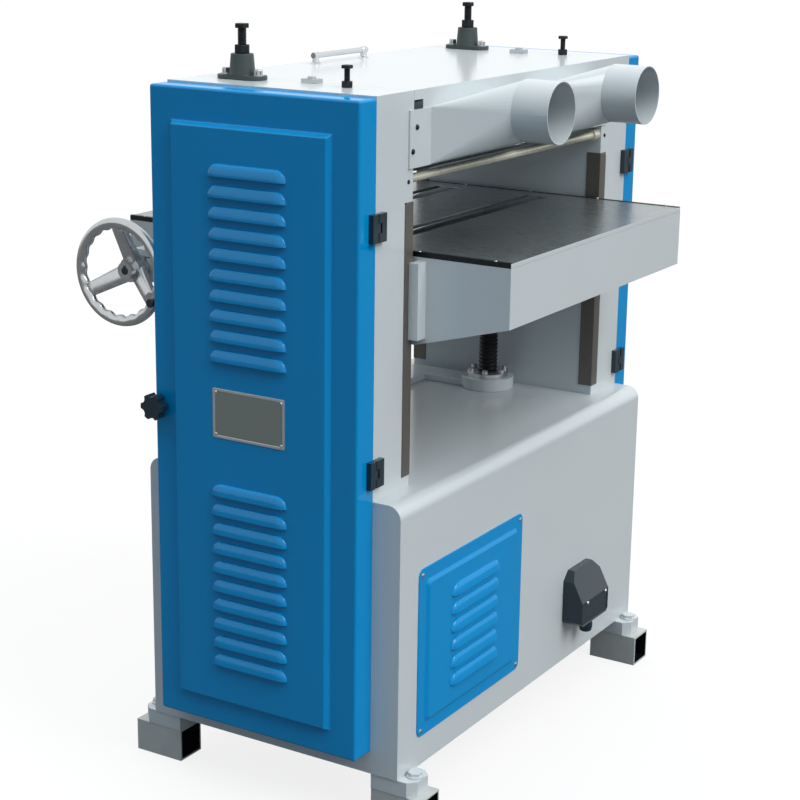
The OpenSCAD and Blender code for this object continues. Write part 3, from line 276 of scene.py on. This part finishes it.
by_slot = {"grey_paint": grey_paint, "blue_paint": blue_paint, "bare_steel": bare_steel,
           "dark_steel": dark_steel, "grey_iron": grey_iron, "black_plastic": black_plastic,
           "chrome": chrome, "aluminium": aluminium, "bronze": bronze, "rubber": rubber}
print("finishes for the slots:", len(by_slot))

# %% [markdown]
# ## Finishes on the CAD pieces
# Each CAD node already names the slot it takes its finish from. A few look different from their
# slot's usual look: the foot tubes are dull painted section, the table's top is ground plate, the
# guide ways carry brown oil, the front bar has a warm tone, the spring posts are painted dark and
# the oil caps are zinc.

# %% Every node gets its slot's finish
special = {"foot_tubes": tube_steel, "table_top": ground_steel, "guide_ways": way_steel,
           "front_bar": cream_bar, "spring_posts": post_paint, "oil_caps": zinc}
for node, obj in nodes.items():
    obj.data.materials.clear()
    obj.data.materials.append(special.get(node, by_slot[slot_of[node]]))
print("finished nodes:", len(nodes))


# %% [markdown]
# ## Small tools for the pieces
# A piece is built in a bmesh, shaded smooth with its sharp edges marked, and then rides on a
# body. A Weighted Normal modifier keeps large flats flat, so that only the bends catch light.
# Blocks, bars with flat sides and lathe-turned forms come up again and again on a machine, so
# each gets a short helper made from the operators: create_cube, create_cone and spin.


# %% Turn a bmesh into a piece
def piece(name, bm, finishes, body, stands_for=(), crease=32):
    bmesh.ops.remove_doubles(bm, verts=bm.verts, dist=1e-6)
    for face in bm.faces:
        face.smooth = True
    for edge in bm.edges:
        edge.smooth = len(edge.link_faces) == 2 and edge.calc_face_angle(0) < math.radians(crease)
    mesh = bpy.data.meshes.new(name)
    bm.to_mesh(mesh)
    bm.free()
    obj = bpy.data.objects.new(name, mesh)
    bpy.context.scene.collection.objects.link(obj)
    for material in finishes if isinstance(finishes, (list, tuple)) else [finishes]:
        mesh.materials.append(material)
    even = obj.modifiers.new("even_flats", "WEIGHTED_NORMAL")
    even.keep_sharp = True
    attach(obj, body)
    if stands_for:
        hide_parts(*stands_for)
    print(name, len(mesh.polygons), "faces on", body)
    return obj


def block(bm, low, high):
    low, high = Vector(low) * MM, Vector(high) * MM
    size = high - low
    matrix = Matrix.Translation((low + high) / 2) @ Matrix.Diagonal((*size, 1))
    return bmesh.ops.create_cube(bm, size=1, matrix=matrix)["verts"]


def faces_of(verts):
    return list({face for vert in verts for face in vert.link_faces})


def edges_of(verts):
    return list({edge for vert in verts for edge in vert.link_edges})


def soften(bm, edges, width, segments=3):
    bmesh.ops.bevel(bm, geom=edges, offset=width * MM, offset_type="OFFSET", segments=segments,
                    profile=0.5, affect="EDGES", material=-1, clamp_overlap=True)


def sharp_edges(edges, angle=30):
    return [e for e in edges if len(e.link_faces) == 2 and e.calc_face_angle(0) > math.radians(angle)]


def prism(bm, sides, radius, height, at, turn=0.0):
    """An upright bar with flat sides, centred on at."""
    matrix = Matrix.Translation(Vector(at) * MM) @ Matrix.Rotation(turn, 4, "Z")
    return bmesh.ops.create_cone(bm, cap_ends=True, segments=sides, radius1=radius * MM,
                                 radius2=radius * MM, depth=height * MM, matrix=matrix)["verts"]


def facing(direction):
    """A matrix that turns +Z to the direction."""
    return Vector(direction).to_track_quat("Z", "Y").to_matrix().to_4x4()


def turned(bm, profile, at, direction=(0, 0, 1), steps=32):
    """Spins a profile of (radius, height) points about the direction through at."""
    verts = [bmesh.ops.create_vert(bm, co=(r * MM, 0, z * MM))["vert"][0] for r, z in profile]
    edges = [bm.edges.new(pair) for pair in zip(verts, verts[1:])]
    before = set(bm.verts) - set(verts)
    bmesh.ops.spin(bm, geom=verts + edges, cent=(0, 0, 0), axis=(0, 0, 1), angle=math.tau, steps=steps,
                   use_merge=True)
    made = [v for v in bm.verts if v not in before]
    bmesh.ops.remove_doubles(bm, verts=made, dist=1e-6)
    made = [v for v in bm.verts if v not in before]
    bmesh.ops.recalc_face_normals(bm, faces=faces_of(made))
    bmesh.ops.transform(bm, matrix=Matrix.Translation(Vector(at) * MM) @ facing(direction), verts=made)
    return made


# %% [markdown]
# ## Rounded copies of the castings and sheets
# CAD solids have knife-sharp edges, and real sheet and castings never do: a small round on each
# edge catches the light and makes the size readable. A copy of each node listed here is merged
# and cleaned of its flat triangle edges, and its sharp edges are bevelled. The copy then stands
# for the node. A Bevel modifier would do the same, but the loose triangles must be merged first.


# %% Round the edges of a node's copy
def cleaned(node):
    """A node's copy in a bmesh, without doubled points and flat triangle edges."""
    bm = bmesh.new()
    bm.from_mesh(nodes[node].data)
    bmesh.ops.remove_doubles(bm, verts=bm.verts, dist=2e-6)
    bmesh.ops.dissolve_limit(bm, angle_limit=math.radians(0.6), verts=bm.verts, edges=bm.edges)
    return bm


def rounded(node, width, segments=2, finishes=None):
    bm = cleaned(node)
    soften(bm, sharp_edges(bm.edges, 32), width, segments)
    finishes = finishes or list(nodes[node].data.materials)
    return piece("rounded_" + node, bm, finishes, home[node], [node])


for node, width in (("base_shell", 1.5), ("left_column", 2.0), ("right_column", 2.0), ("foot_lugs", 2.5),
                    ("foot_bolts", 1.2), ("guide_ways", 1.5), ("top_cover", 1.0), ("table_casting", 3.0),
                    ("cover_hinge_blocks", 1.5), ("spring_posts", 1.2), ("oil_caps", 1.5),
                    ("lift_bridge", 2.0), ("lift_gearbox", 2.5), ("left_door_knob", 2.0),
                    ("right_door_knob", 2.0), ("left_door_hinges", 1.0), ("right_door_hinges", 1.0),
                    ("column_hinges", 1.0), ("handwheel", 1.5), ("rear_beam", 1.5)):
    rounded(node, width)

# %% [markdown]
# ## Foot tubes
# The machine stands on four lengths of square tube. They are painted outside, and their insides
# are given a dark finish as painted shade. A face is an inside face when it points towards its tube's axis.

# %% Painted outside, painted shade inside
foot_tubes = rounded("foot_tubes", 2.2, 3, finishes=[tube_steel, dark_steel])
tube_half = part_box("foot_tubes")[1].z / 2
axis_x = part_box("foot_tubes")[1].x - tube_half
for face in foot_tubes.data.polygons:
    axis = Vector((math.copysign(axis_x, face.center.x), face.center.y, tube_half))
    # The inside faces take the dark finish as painted shade in the open tube ends.
    face.material_index = 1 if face.normal.dot(axis - face.center) > 0.01 else 0

# %% [markdown]
# ## Ground table top
# The table's plate is ground, but its front and rear ends are painted over with the casting,
# and a narrow black strip runs along each side. Each face takes its finish from the way that it
# points and where it lies, and the strips are two bevelled bars.

# %% Ground face, painted ends and black side strips
ends_past_y, sides_past_x = 300, 330
table_plate = rounded("table_top", 0.8, finishes=[ground_steel, grey_paint, edge_black])
for face in table_plate.data.polygons:
    end = abs(face.normal.y) > 0.5 and abs(face.center.y) > ends_past_y * MM
    side = abs(face.normal.x) > 0.9 and abs(face.center.x) > sides_past_x * MM
    face.material_index = 1 if end else 2 if side else 0
plate_min, plate_max = [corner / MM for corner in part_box("table_top")]
strip_w, strip_over, strip_short, strip_up, strip_down = 7, 0.2, 0.6, 0.9, 2.5
bm = bmesh.new()
for x in (plate_min.x - strip_over, plate_max.x + strip_over - strip_w):
    strip = block(bm, (x, plate_min.y + strip_short, plate_max.z - strip_down),
                  (x + strip_w, plate_max.y - strip_short, plate_max.z + strip_up))
    soften(bm, edges_of(strip), 0.4, 2)
piece("table_edge_strips", bm, edge_black, "table")


# %% [markdown]
# ## Pressed louvres
# A louvre is slit along its lower edge and pressed outwards, so it is a shallow shell that opens
# downwards and closes round at both ends. One vertex spun a quarter turn and flattened gives
# its arc, extruding the arc gives the straight run, and spinning each end a quarter turn about
# the lip closes it.


# %% One louvre, standing out along its own X
def louvre(bm, width, height, rise, place):
    half = width / 2 - height
    known = set(bm.verts)
    seed = bmesh.ops.create_vert(bm, co=(height * MM, -half * MM, 0))["vert"]
    bmesh.ops.spin(bm, geom=seed, cent=(0, -half * MM, 0), axis=(0, -1, 0), angle=math.pi / 2, steps=8)
    arc = [v for v in bm.verts if v not in known]
    bmesh.ops.scale(bm, vec=(rise / height, 1, 1), verts=arc)
    drawn = bmesh.ops.extrude_edge_only(bm, edges=edges_of(arc))["geom"]
    far = [g for g in drawn if isinstance(g, bmesh.types.BMVert)]
    bmesh.ops.translate(bm, verts=far, vec=(0, 2 * half * MM, 0))
    far_edges = [e for e in edges_of(far) if all(v in far for v in e.verts)]
    near_edges = [e for e in edges_of(arc) if all(v in arc for v in e.verts)]
    for verts, edges, y, quarter in ((far, far_edges, half, -90), (arc, near_edges, -half, 90)):
        bmesh.ops.spin(bm, geom=verts + edges, cent=(0, y * MM, 0), axis=(1, 0, 0),
                       angle=math.radians(quarter), steps=5)
    made = [v for v in bm.verts if v not in known]
    bmesh.ops.remove_doubles(bm, verts=made, dist=1e-6)
    made = [v for v in bm.verts if v not in known]
    bmesh.ops.transform(bm, matrix=place, verts=made)
    bmesh.ops.recalc_face_normals(bm, faces=faces_of(made))


# %% [markdown]
# ## Side doors
# Each door is a pan bent from sheet, with a raised panel pressed into it and two banks of
# louvres. A cube loses its back, its outer face is inset twice to give the panel's foot and its
# raised edge, and the bends are bevelled. The panel is then cut where the louvres open, and the
# whole skin gets the thickness of the sheet.

# %% Sizes shared by both doors
door_x, door_out, panel_x = 460.3, 508.3, 518.3
door_y, door_low, door_top = 204, 128, 1228
door_mid = (door_low + door_top) / 2
panel_low_y, panel_high_y, panel_low, panel_top = -148, 154, 178, 1168
panel_slope, bend, panel_edge, door_sheet = 5, 4.5, 1.8, 1.6
louvre_y, louvre_w, louvre_h, louvre_rise, louvre_pitch, louvre_root = 3, 154, 20, 8, 34, 2
banks, louvres_in_bank = (948, 409), 10
louvre_feet = [bank + (i - (louvres_in_bank - 1) / 2) * louvre_pitch - louvre_h / 2
               for bank in banks for i in range(louvres_in_bank)]
print("louvres on each door:", len(louvre_feet))


# %% Windows behind the louvres
def louvre_windows(across, middle, width, feet):
    """Where the openings behind a bank of louvres are cut, and what lies inside them."""
    half, tall = width / 2 - louvre_h, louvre_h - louvre_root
    cuts = {across: (middle - half, middle + half), 2: [z + d for z in feet for d in (0, tall)]}
    return cuts, lambda at: abs(at[across] - middle) < half and any(z < at.z < z + tall for z in feet)


def flat_faces(bm, axis, value):
    return [f for f in bm.faces if abs(f.normal[axis]) > 0.999
            and abs(f.calc_center_median()[axis] - value * MM) < 1e-5]


def cut_window(bm, axis, value, cuts, inside):
    """Cuts the flat faces at a value of an axis along the cuts, and drops those that are inside."""
    for across, marks in cuts.items():
        for mark in marks:
            flats = flat_faces(bm, axis, value)
            geom = flats + list({e for f in flats for e in f.edges})
            geom += list({v for f in flats for v in f.verts})
            middle, normal = [0, 0, 0], [0, 0, 0]
            middle[across], normal[across] = mark * MM, 1
            bmesh.ops.bisect_plane(bm, geom=geom, dist=1e-7, plane_co=middle, plane_no=normal)
    gone = [f for f in flat_faces(bm, axis, value) if inside(f.calc_center_median() / MM)]
    bmesh.ops.delete(bm, geom=gone, context="FACES")
    return len(gone)


# %% The pan, its raised panel and the louvres
def pressed_door(side, name):
    bm = bmesh.new()
    block(bm, (door_x, -door_y, door_low), (door_out, door_y, door_top))
    bm.normal_update()
    back = [f for f in bm.faces if f.normal.x < -0.9]
    front = [f for f in bm.faces if f.normal.x > 0.9][0]
    bmesh.ops.delete(bm, geom=back, context="FACES_ONLY")
    bends = list(front.edges) + [e for e in bm.edges if abs(e.verts[0].co.x - e.verts[1].co.x) > 0.01]
    for x, grow in ((door_out, panel_slope), (panel_x, 0)):
        bmesh.ops.inset_region(bm, faces=[front], thickness=0.01)
        for vert in front.verts:
            high_y, high_z = vert.co.y > 0, vert.co.z > door_mid * MM
            vert.co = Vector((x, panel_high_y + grow if high_y else panel_low_y - grow,
                              panel_top + grow if high_z else panel_low - grow)) * MM
    rim = list(front.edges)
    corners = [e for v in front.verts for e in v.link_edges if e not in rim]
    foot_verts = {e.other_vert(v) for e in corners for v in front.verts if v in e.verts}
    foot = [e for v in foot_verts for e in v.link_edges
            if all(abs(end.co.x - door_out * MM) < 1e-6 for end in e.verts)]
    foot = [e for e in set(foot) if all(abs(v.co.y) < (door_y - bend) * MM for v in e.verts)]
    soften(bm, bends, bend, 4)
    soften(bm, [e for e in rim + corners + foot if e.is_valid], panel_edge, 3)
    bm.normal_update()
    opened = cut_window(bm, 0, panel_x, *louvre_windows(1, louvre_y, louvre_w, louvre_feet))
    for z in louvre_feet:
        place = Matrix.Translation(Vector((panel_x, louvre_y, z)) * MM)
        louvre(bm, louvre_w, louvre_h, louvre_rise, place)
    bm.normal_update()
    if sum(f.normal.x for f in bm.faces) < 0:
        bmesh.ops.reverse_faces(bm, faces=bm.faces)
    bmesh.ops.solidify(bm, geom=bm.faces, thickness=door_sheet * MM)
    if side < 0:
        bmesh.ops.scale(bm, vec=(-1, 1, 1), verts=bm.verts)
        bmesh.ops.reverse_faces(bm, faces=bm.faces)
    print("louvres opened:", opened)
    piece(name + "_skin", bm, blue_paint, name, [name])


pressed_door(-1, "left_door")
pressed_door(1, "right_door")

# %% [markdown]
# ## Screws, bolts and rivets
# A machine is read by its fasteners. A domed head, for pan screws and rivets, is a turned
# profile. A bolt's hexagon is a six-sided bar whose top edges are bevelled, on a thin washer.


# %% Heads
def pan_head(bm, at, direction, radius, height):
    sunk = 0.4
    dome = [(0, height), (radius * 0.55, height * 0.93), (radius * 0.88, height * 0.6),
            (radius, height * 0.2), (radius, -sunk)]
    turned(bm, dome, at, direction, 16)


def hex_head(bm, at, direction, radius, height, washer):
    known = set(bm.verts)
    middle = washer + height / 2
    head = prism(bm, 6, radius, height, (0, 0, middle))
    top = [e for e in edges_of(head) if all(v.co.z > middle * MM for v in e.verts)]
    soften(bm, top, height * 0.16, 2)
    ring = bmesh.ops.create_cone(bm, cap_ends=True, segments=24, radius1=radius * 1.25 * MM,
                                 radius2=radius * 1.22 * MM, depth=washer * MM,
                                 matrix=Matrix.Translation((0, 0, washer / 2 * MM)))["verts"]
    soften(bm, sharp_edges(edges_of(ring)), washer * 0.2, 1)
    made = [v for v in bm.verts if v not in known]
    bmesh.ops.transform(bm, matrix=Matrix.Translation(Vector(at) * MM) @ facing(direction), verts=made)


# %% [markdown]
# ## Front panel
# The blue cover on the base is one sheet with round corners, raised inside its rim, six louvres
# and a screw in each corner. Insetting a rounded outline by more than its radius would fold it
# over itself, and bridging loops may pair their points unevenly and crease the corners. So the
# sheet is joined from outlines with the same number of points, point by point.


# %% Rounded outlines that share their points
def outline(bm, size, radius, place, steps=5):
    verts = []
    for su, sv, start in ((1, 1, 0), (-1, 1, 90), (-1, -1, 180), (1, -1, 270)):
        for i in range(steps + 1):
            angle = math.radians(start + 90 * i / steps)
            u = su * (size[0] / 2 - radius) + radius * math.cos(angle)
            v = sv * (size[1] / 2 - radius) + radius * math.sin(angle)
            verts.append(bmesh.ops.create_vert(bm, co=Vector(place(u, v)) * MM)["vert"][0])
    return verts


def nested(bm, size, steps, place):
    """Joins outlines of (inset, corner radius, height) point by point and closes the last one."""
    loops = []
    for inset, radius, height in steps:
        inner_size = (size[0] - 2 * inset, size[1] - 2 * inset)
        loops.append(outline(bm, inner_size, radius, lambda u, v: place(u, v, height)))
    for outer, inner in zip(loops, loops[1:]):
        for i in range(len(outer)):
            bm.faces.new((outer[i - 1], outer[i], inner[i], inner[i - 1]))
    cap = [bm.faces.new(loops[-1])]
    bmesh.ops.recalc_face_normals(bm, faces=bm.faces)
    bm.normal_update()
    return cap


# %% Sheet, raised field and louvres
panel_mid_x, panel_mid_z, panel_w, panel_h, base_y = -217, 294, 366, 305, 258
rim_rise, field_rise, front_sheet = 2.0, 7, 1.4
panel_steps = ((0, 14, 0), (0, 14, 1.4), (0.8, 13.2, rim_rise), (22, 9, rim_rise),
               (23, 9, 2.4), (27, 8, 5.9), (28.5, 7.5, 6.7), (30, 7, field_rise))
bm = bmesh.new()
nested(bm, (panel_w, panel_h), panel_steps, lambda u, v, h: (panel_mid_x + u, -base_y - h, panel_mid_z + v))
louvre_x, louvre_mid_z = panel_mid_x + 2, panel_mid_z + 4
front_louvre_w, front_pitch, front_louvres = 169, 33, 6
front_feet = [louvre_mid_z + (i - (front_louvres - 1) / 2) * front_pitch - louvre_h / 2
              for i in range(front_louvres)]
field_y = -base_y - field_rise
opened = cut_window(bm, 1, field_y, *louvre_windows(0, louvre_x, front_louvre_w, front_feet))
to_front = Matrix.Rotation(-math.pi / 2, 4, "Z")
for z in front_feet:
    place = Matrix.Translation(Vector((louvre_x, field_y, z)) * MM) @ to_front
    louvre(bm, front_louvre_w, louvre_h, louvre_rise, place)
bm.normal_update()
if sum(f.normal.y for f in bm.faces) > 0:
    bmesh.ops.reverse_faces(bm, faces=bm.faces)
bmesh.ops.solidify(bm, geom=bm.faces, thickness=front_sheet * MM)
piece("front_panel_sheet", bm, blue_paint, "frame", ["front_panel"])
print("front louvres opened:", opened)

# %% Screws in the front panel's corners
screw_in = 11
screw_half_x, screw_half_z = panel_w / 2 - screw_in, panel_h / 2 - screw_in
bm = bmesh.new()
for x in (panel_mid_x - screw_half_x, panel_mid_x + screw_half_x):
    for z in (panel_mid_z - screw_half_z, panel_mid_z + screw_half_z):
        pan_head(bm, (x, -base_y - rim_rise, z), (0, -1, 0), 4.2, 2.4)
piece("front_panel_screws", bm, zinc, "frame")

# %% [markdown]
# ## Rating plate
# A thin satin plate is riveted to the left door between the louvres. Its bare field is pressed
# in by less than half a millimetre, and the rim round it has a brighter finish.

# %% Bare plate and rivets on the left door
plate_low, plate_high, plate_y, plate_w, rivet_in = 653, 738, 2, 145, 6.5
plate_mid, plate_h, rivet_y = (plate_low + plate_high) / 2, plate_high - plate_low, plate_w / 2 - rivet_in
plate_steps = ((0, 3, -0.2), (0, 3, 1.0), (0.3, 2.8, 1.2), (4, 2.0, 1.2), (4.6, 1.8, 0.8))
bm = bmesh.new()
field = nested(bm, (plate_w, plate_h), plate_steps,
               lambda u, v, h: (-panel_x - h, plate_y + u, plate_mid + v))
for face in field:
    face.material_index = 1
for y in (-rivet_y, rivet_y):
    for z in (plate_low + rivet_in, plate_high - rivet_in):
        pan_head(bm, (-panel_x - 0.9, plate_y + y, z), (-1, 0, 0), 2.6, 1.5)
piece("rating_plate", bm, [plate_silver, plate_field], "left_door", crease=8)


# %% [markdown]
# ## Threads
# A thread is one V of a profile that climbs by its pitch in each turn. Spin can do that: its
# dvec lifts the profile a little at every step. The ends of neighbouring turns fall on each
# other and are merged, and a plain core closes the ends.


# %% A climbing thread with its core
def thread(bm, at, radius, depth, pitch, length, steps=18):
    known = set(bm.verts)
    tooth = ((radius - depth, 0), (radius, pitch * 0.42), (radius, pitch * 0.58), (radius - depth, pitch))
    verts = [bmesh.ops.create_vert(bm, co=(r * MM, 0, z * MM))["vert"][0] for r, z in tooth]
    edges = [bm.edges.new(pair) for pair in zip(verts, verts[1:])]
    turns = int(length / pitch) - 1
    bmesh.ops.spin(bm, geom=verts + edges, cent=(0, 0, 0), axis=(0, 0, 1), dvec=(0, 0, pitch / steps * MM),
                   angle=math.tau * turns, steps=steps * turns)
    made = [v for v in bm.verts if v not in known]
    bmesh.ops.remove_doubles(bm, verts=made, dist=2e-6)
    made = [v for v in bm.verts if v not in known]
    bmesh.ops.recalc_face_normals(bm, faces=faces_of(made))
    bmesh.ops.translate(bm, verts=made, vec=Vector(at) * MM)
    core = radius - depth * 0.9
    rod = [(0, 0), (core - 1, 0), (core, 1), (core, length - 1), (core - 1, length), (0, length)]
    turned(bm, rod, at, steps=20)
    return turns


# %% Lift screws under the table
low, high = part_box("lift_screws")
lift_x, lift_r, lift_depth, lift_lead = 295, 19, 2.6, 8
bm = bmesh.new()
for x in (-lift_x, lift_x):
    turns = thread(bm, (x, 0, low.z / MM), lift_r, lift_depth, lift_lead, (high.z - low.z) / MM)
piece("lift_screw_threads", bm, dark_steel, "table", ["lift_screws"], crease=25)
print("turns on each lift screw:", turns)


# %% Set screws on top of the columns
def set_screw(name, radius, head_r, head_h, nut_r, nut_low, nut_h):
    low, high = [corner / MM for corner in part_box(name)]
    x, y = (low.x + high.x) / 2, (low.y + high.y) / 2
    bm = bmesh.new()
    thread(bm, (x, y, low.z), radius, radius * 0.12, radius * 0.32, high.z - low.z - head_h + 0.5, 14)
    head = prism(bm, 4, head_r, head_h, (x, y, high.z - head_h / 2), math.pi / 4)
    soften(bm, sharp_edges(edges_of(head)), 1.2, 2)
    nut = prism(bm, 6, nut_r, nut_h, (x, y, nut_low + nut_h / 2))
    soften(bm, sharp_edges(edges_of(nut)), 1.0, 2)
    piece(name + "_threaded", bm, dark_steel, name, [name], crease=25)


column_top, post_h, nut_gap = 1231, 42, 0.3
for hand in ("left", "right"):
    set_screw(hand + "_spring_screw", 7.5, 12, 8, 13.5, column_top + post_h + nut_gap, 14)
    set_screw(hand + "_stop_screw", 5, 10, 6, 10, column_top + nut_gap, 10)

# %% Bright bolts on the posts' flanges
low, high = [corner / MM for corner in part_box("spring_posts")]
post_x, post_y, flange_t, bolt_out = 378, (low.y + high.y) / 2, 7, 33
bm = bmesh.new()
for x in (-post_x, post_x):
    for y in (post_y - bolt_out, post_y + bolt_out):
        hex_head(bm, (x, y, column_top + flange_t), (0, 0, 1), 7.6, 8.8, 1.6)
piece("post_bolts", bm, zinc, "frame")

# %% [markdown]
# ## Handle on the top cover
# A chromed bar with a thicker sleeve at each end stands on two turned feet. It is a lathe form,
# so its profile is spun about its own axis.

# %% Turned bar and feet
handle_len, handle_y, handle_up, foot_x = 176, 165, 15, 80
bar_r, sleeve_r, sleeve_len, chamfer = 5.2, 6.2, 15, 1.5
bar = [(0, 0), (bar_r, 0), (sleeve_r, 1), (sleeve_r, sleeve_len), (bar_r, sleeve_len + chamfer),
       (bar_r, handle_len - sleeve_len - chamfer), (sleeve_r, handle_len - sleeve_len),
       (sleeve_r, handle_len - 1), (bar_r, handle_len), (0, handle_len)]
handle_foot = [(0, 0), (9, 0), (9, 2), (6, 3.5), (5.5, 14), (0, handle_up)]
bm = bmesh.new()
turned(bm, bar, (-handle_len / 2, handle_y, column_top + handle_up), (1, 0, 0), 28)
for x in (-foot_x, foot_x):
    turned(bm, handle_foot, (x, handle_y, column_top), steps=28)
piece("cover_handle_bar", bm, chrome, "cover", ["cover_handle"])

# %% [markdown]
# ## Hood bolts, box screws and table screws
# The flange tabs of the dust hoods are bolted to the columns, the terminal box's lid has two
# bright screws under its crease, and the black strips of the table are held by small screws,
# which show as bright dots along both edges.

# %% Bolts of the hoods and the bar
tab_y, column_y = -207, -204
tab_bolts, bar_bolt = ((343, 1172), (355, 1134)), (362, 1086)
bm = bmesh.new()
for side in (-1, 1):
    for x, z in tab_bolts:
        pan_head(bm, (side * x, tab_y, z), (0, -1, 0), 4.6, 3.2)
    pan_head(bm, (side * bar_bolt[0], column_y, bar_bolt[1]), (0, -1, 0), 3.6, 2.2)
piece("hood_bolts", bm, dark_steel, "frame")

# %% Terminal box with rounded edges and a sunk lower face
square_back, lid_round, lid_sunk = 12, 7, 2
bm = cleaned("terminal_box")
wall_y = max(v.co.y for v in bm.verts)
outer = [e for e in sharp_edges(bm.edges, 25) if min(v.co.y for v in e.verts) < wall_y - square_back * MM]
soften(bm, outer, lid_round, 5)
bm.normal_update()
lower = [max((f for f in bm.faces if f.normal.y < -0.99), key=lambda f: f.calc_area())]
bmesh.ops.inset_region(bm, faces=lower, thickness=lid_sunk * MM, depth=-lid_sunk * MM)
soften(bm, sharp_edges(bm.edges, 40), 0.8, 2)
piece("terminal_box_lid", bm, black_plastic, "frame", ["terminal_box"])
lid_y, lid_screw_x, lid_screw_z = -299.5, (172, 251), 211
bm = bmesh.new()
for x in lid_screw_x:
    pan_head(bm, (x, lid_y, lid_screw_z), (0, -1, 0), 4.2, 3.4)
piece("terminal_box_screws", bm, zinc, "frame")

# %% Screws of the table's side strips
strip_mid, strip_screw_y = strip_w / 2 - strip_over, (-350, -209, -65, 79, 223, 360)
bm = bmesh.new()
for x in (plate_min.x + strip_mid, plate_max.x - strip_mid):
    for y in strip_screw_y:
        pan_head(bm, (x, y, plate_max.z + strip_up), (0, 0, 1), 3.1, 1.5)
piece("table_screws", bm, zinc, "table")

# %% [markdown]
# ## Lift nuts on the deck
# Each lift nut turns in a ring on the deck. A steel cap covers its flange and is held by bright
# cap screws with a sunk socket, so the turning part reads as a fitted bearing.

# %% Steel caps and their screws
cap_low, cap_screw_low, cap_screw_ring, cap_screws = 597.3, 605.8, 35.0, 6
cap = [(19.6, 0), (19.6, 8.4), (20.4, 9.2), (31, 9.2), (31.6, 8.6), (40, 8.6), (41, 7.6), (41, 0.2)]
cap_screw = [(0, 3.0), (3.0, 3.0), (3.3, 6.6), (5.2, 6.9), (5.9, 6.1), (5.9, -0.3)]
for hand, x in (("left", -lift_x), ("right", lift_x)):
    bm = bmesh.new()
    turned(bm, cap, (x, 0, cap_low), steps=56)
    for i in range(cap_screws):
        angle = math.radians(20 + 360 / cap_screws * i)
        at = (x + cap_screw_ring * math.cos(angle), cap_screw_ring * math.sin(angle), cap_screw_low)
        turned(bm, cap_screw, at, steps=18)
    piece(hand + "_nut_cap", bm, zinc, hand + "_lift_nut")

# %% [markdown]
# ## Gearbox and handwheel
# A dark gasket shows as a thin line under the gearbox's lid, and four bolts sit on the gearbox's
# outer face. The handwheel's rim has shallow hollows for the fingers: a ring is spun and its
# inner side is drawn in by a wave. The shaft ends in a dark keyed stub, and a dark pivot boss
# sits on the rim.

# %% Gasket and bolts of the gearbox
low, high = [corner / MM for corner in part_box("lift_gearbox")]
gasket_down, gasket_t, gasket_out = 12, 2, 0.5
gasket_top = high.z - gasket_down
bm = bmesh.new()
block(bm, (low.x - gasket_out, low.y + 4, gasket_top - gasket_t),
      (high.x + gasket_out, high.y + gasket_out, gasket_top))
soften(bm, list(bm.edges), 0.6, 1)
piece("gearbox_gasket", bm, rubber, "frame")
bm = bmesh.new()
for y in (low.y + 10, low.y + 58):
    for z in (low.z + 9, high.z - 23):
        hex_head(bm, (low.x, y, z), (-1, 0, 0), 4.5, 3.5, 1.0)
piece("gearbox_bolts", bm, zinc, "frame")

# %% Finger ridges inside the handwheel's rim
wheel = Vector((-478, 300, 899))
rim_mid, rim_r, ridge, ridges, ring_points = 85.5, 8.65, 3.2, 20, 20
bm = bmesh.new()
angles = [math.tau * i / ring_points for i in range(ring_points + 1)]
ring = [(rim_mid + rim_r * math.cos(angle), rim_r * math.sin(angle)) for angle in angles]
made = turned(bm, ring, wheel, (-1, 0, 0), ridges * 9)
for vert in made:
    arm = Vector((0, vert.co.y - wheel.y * MM, vert.co.z - wheel.z * MM))
    inward = max(0.0, (rim_mid * MM - arm.length) / (rim_r * MM))
    wave = 0.5 + 0.5 * math.cos(ridges * math.atan2(arm.z, arm.y))
    vert.co -= arm.normalized() * ridge * MM * inward * wave
bmesh.ops.recalc_face_normals(bm, faces=bm.faces)
piece("handwheel_rim", bm, aluminium, "handwheel")

# %% Keyed stub and pivot boss of the handwheel
hub_back, hub_len, hub_boss = 53.7, 28, 13
hub_face = wheel.x + hub_back - hub_len - hub_boss
bm = bmesh.new()
turned(bm, [(0, 1.2), (6.2, 1.2), (7.0, 0.6), (7.0, -0.5)], (hub_face, wheel.y, wheel.z), (-1, 0, 0), 24)
block(bm, (hub_face - 1.0, wheel.y - 2.2, wheel.z + 3), (hub_face + 0.5, wheel.y + 2.2, wheel.z + 9.5))
boss_angle, boss_out = math.radians(120), 5
boss_y = wheel.y - rim_mid * math.sin(boss_angle)
boss_z = wheel.z + rim_mid * math.cos(boss_angle)
boss_at = (wheel.x - boss_out, boss_y, boss_z)
turned(bm, [(0, 10), (6.5, 10), (8, 8.5), (8, -6)], boss_at, (-1, 0, 0), 24)
piece("handwheel_stub", bm, black_plastic, "handwheel")

# %% [markdown]
# ## Cable gland
# The gland is a moulded nut with a thicker grip in its middle. A lathe profile gives the steps,
# and its open middle keeps the bore for the lead.

# %% Turned gland with its bore
low, high = [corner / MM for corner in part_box("cable_gland")]
bm = bmesh.new()
gland_h, bore_r = high.z - low.z, 8.05
gland = [(bore_r, 0), (10.5, 0), (12, 1.5), (12, 6), (13.4, 7), (13.4, 17), (12.2, 18), (12.2, gland_h),
         (bore_r, gland_h), (bore_r, 0)]
turned(bm, gland, ((low.x + high.x) / 2, (low.y + high.y) / 2, low.z), steps=24)
piece("cable_gland_nut", bm, black_plastic, "frame", ["cable_gland"])
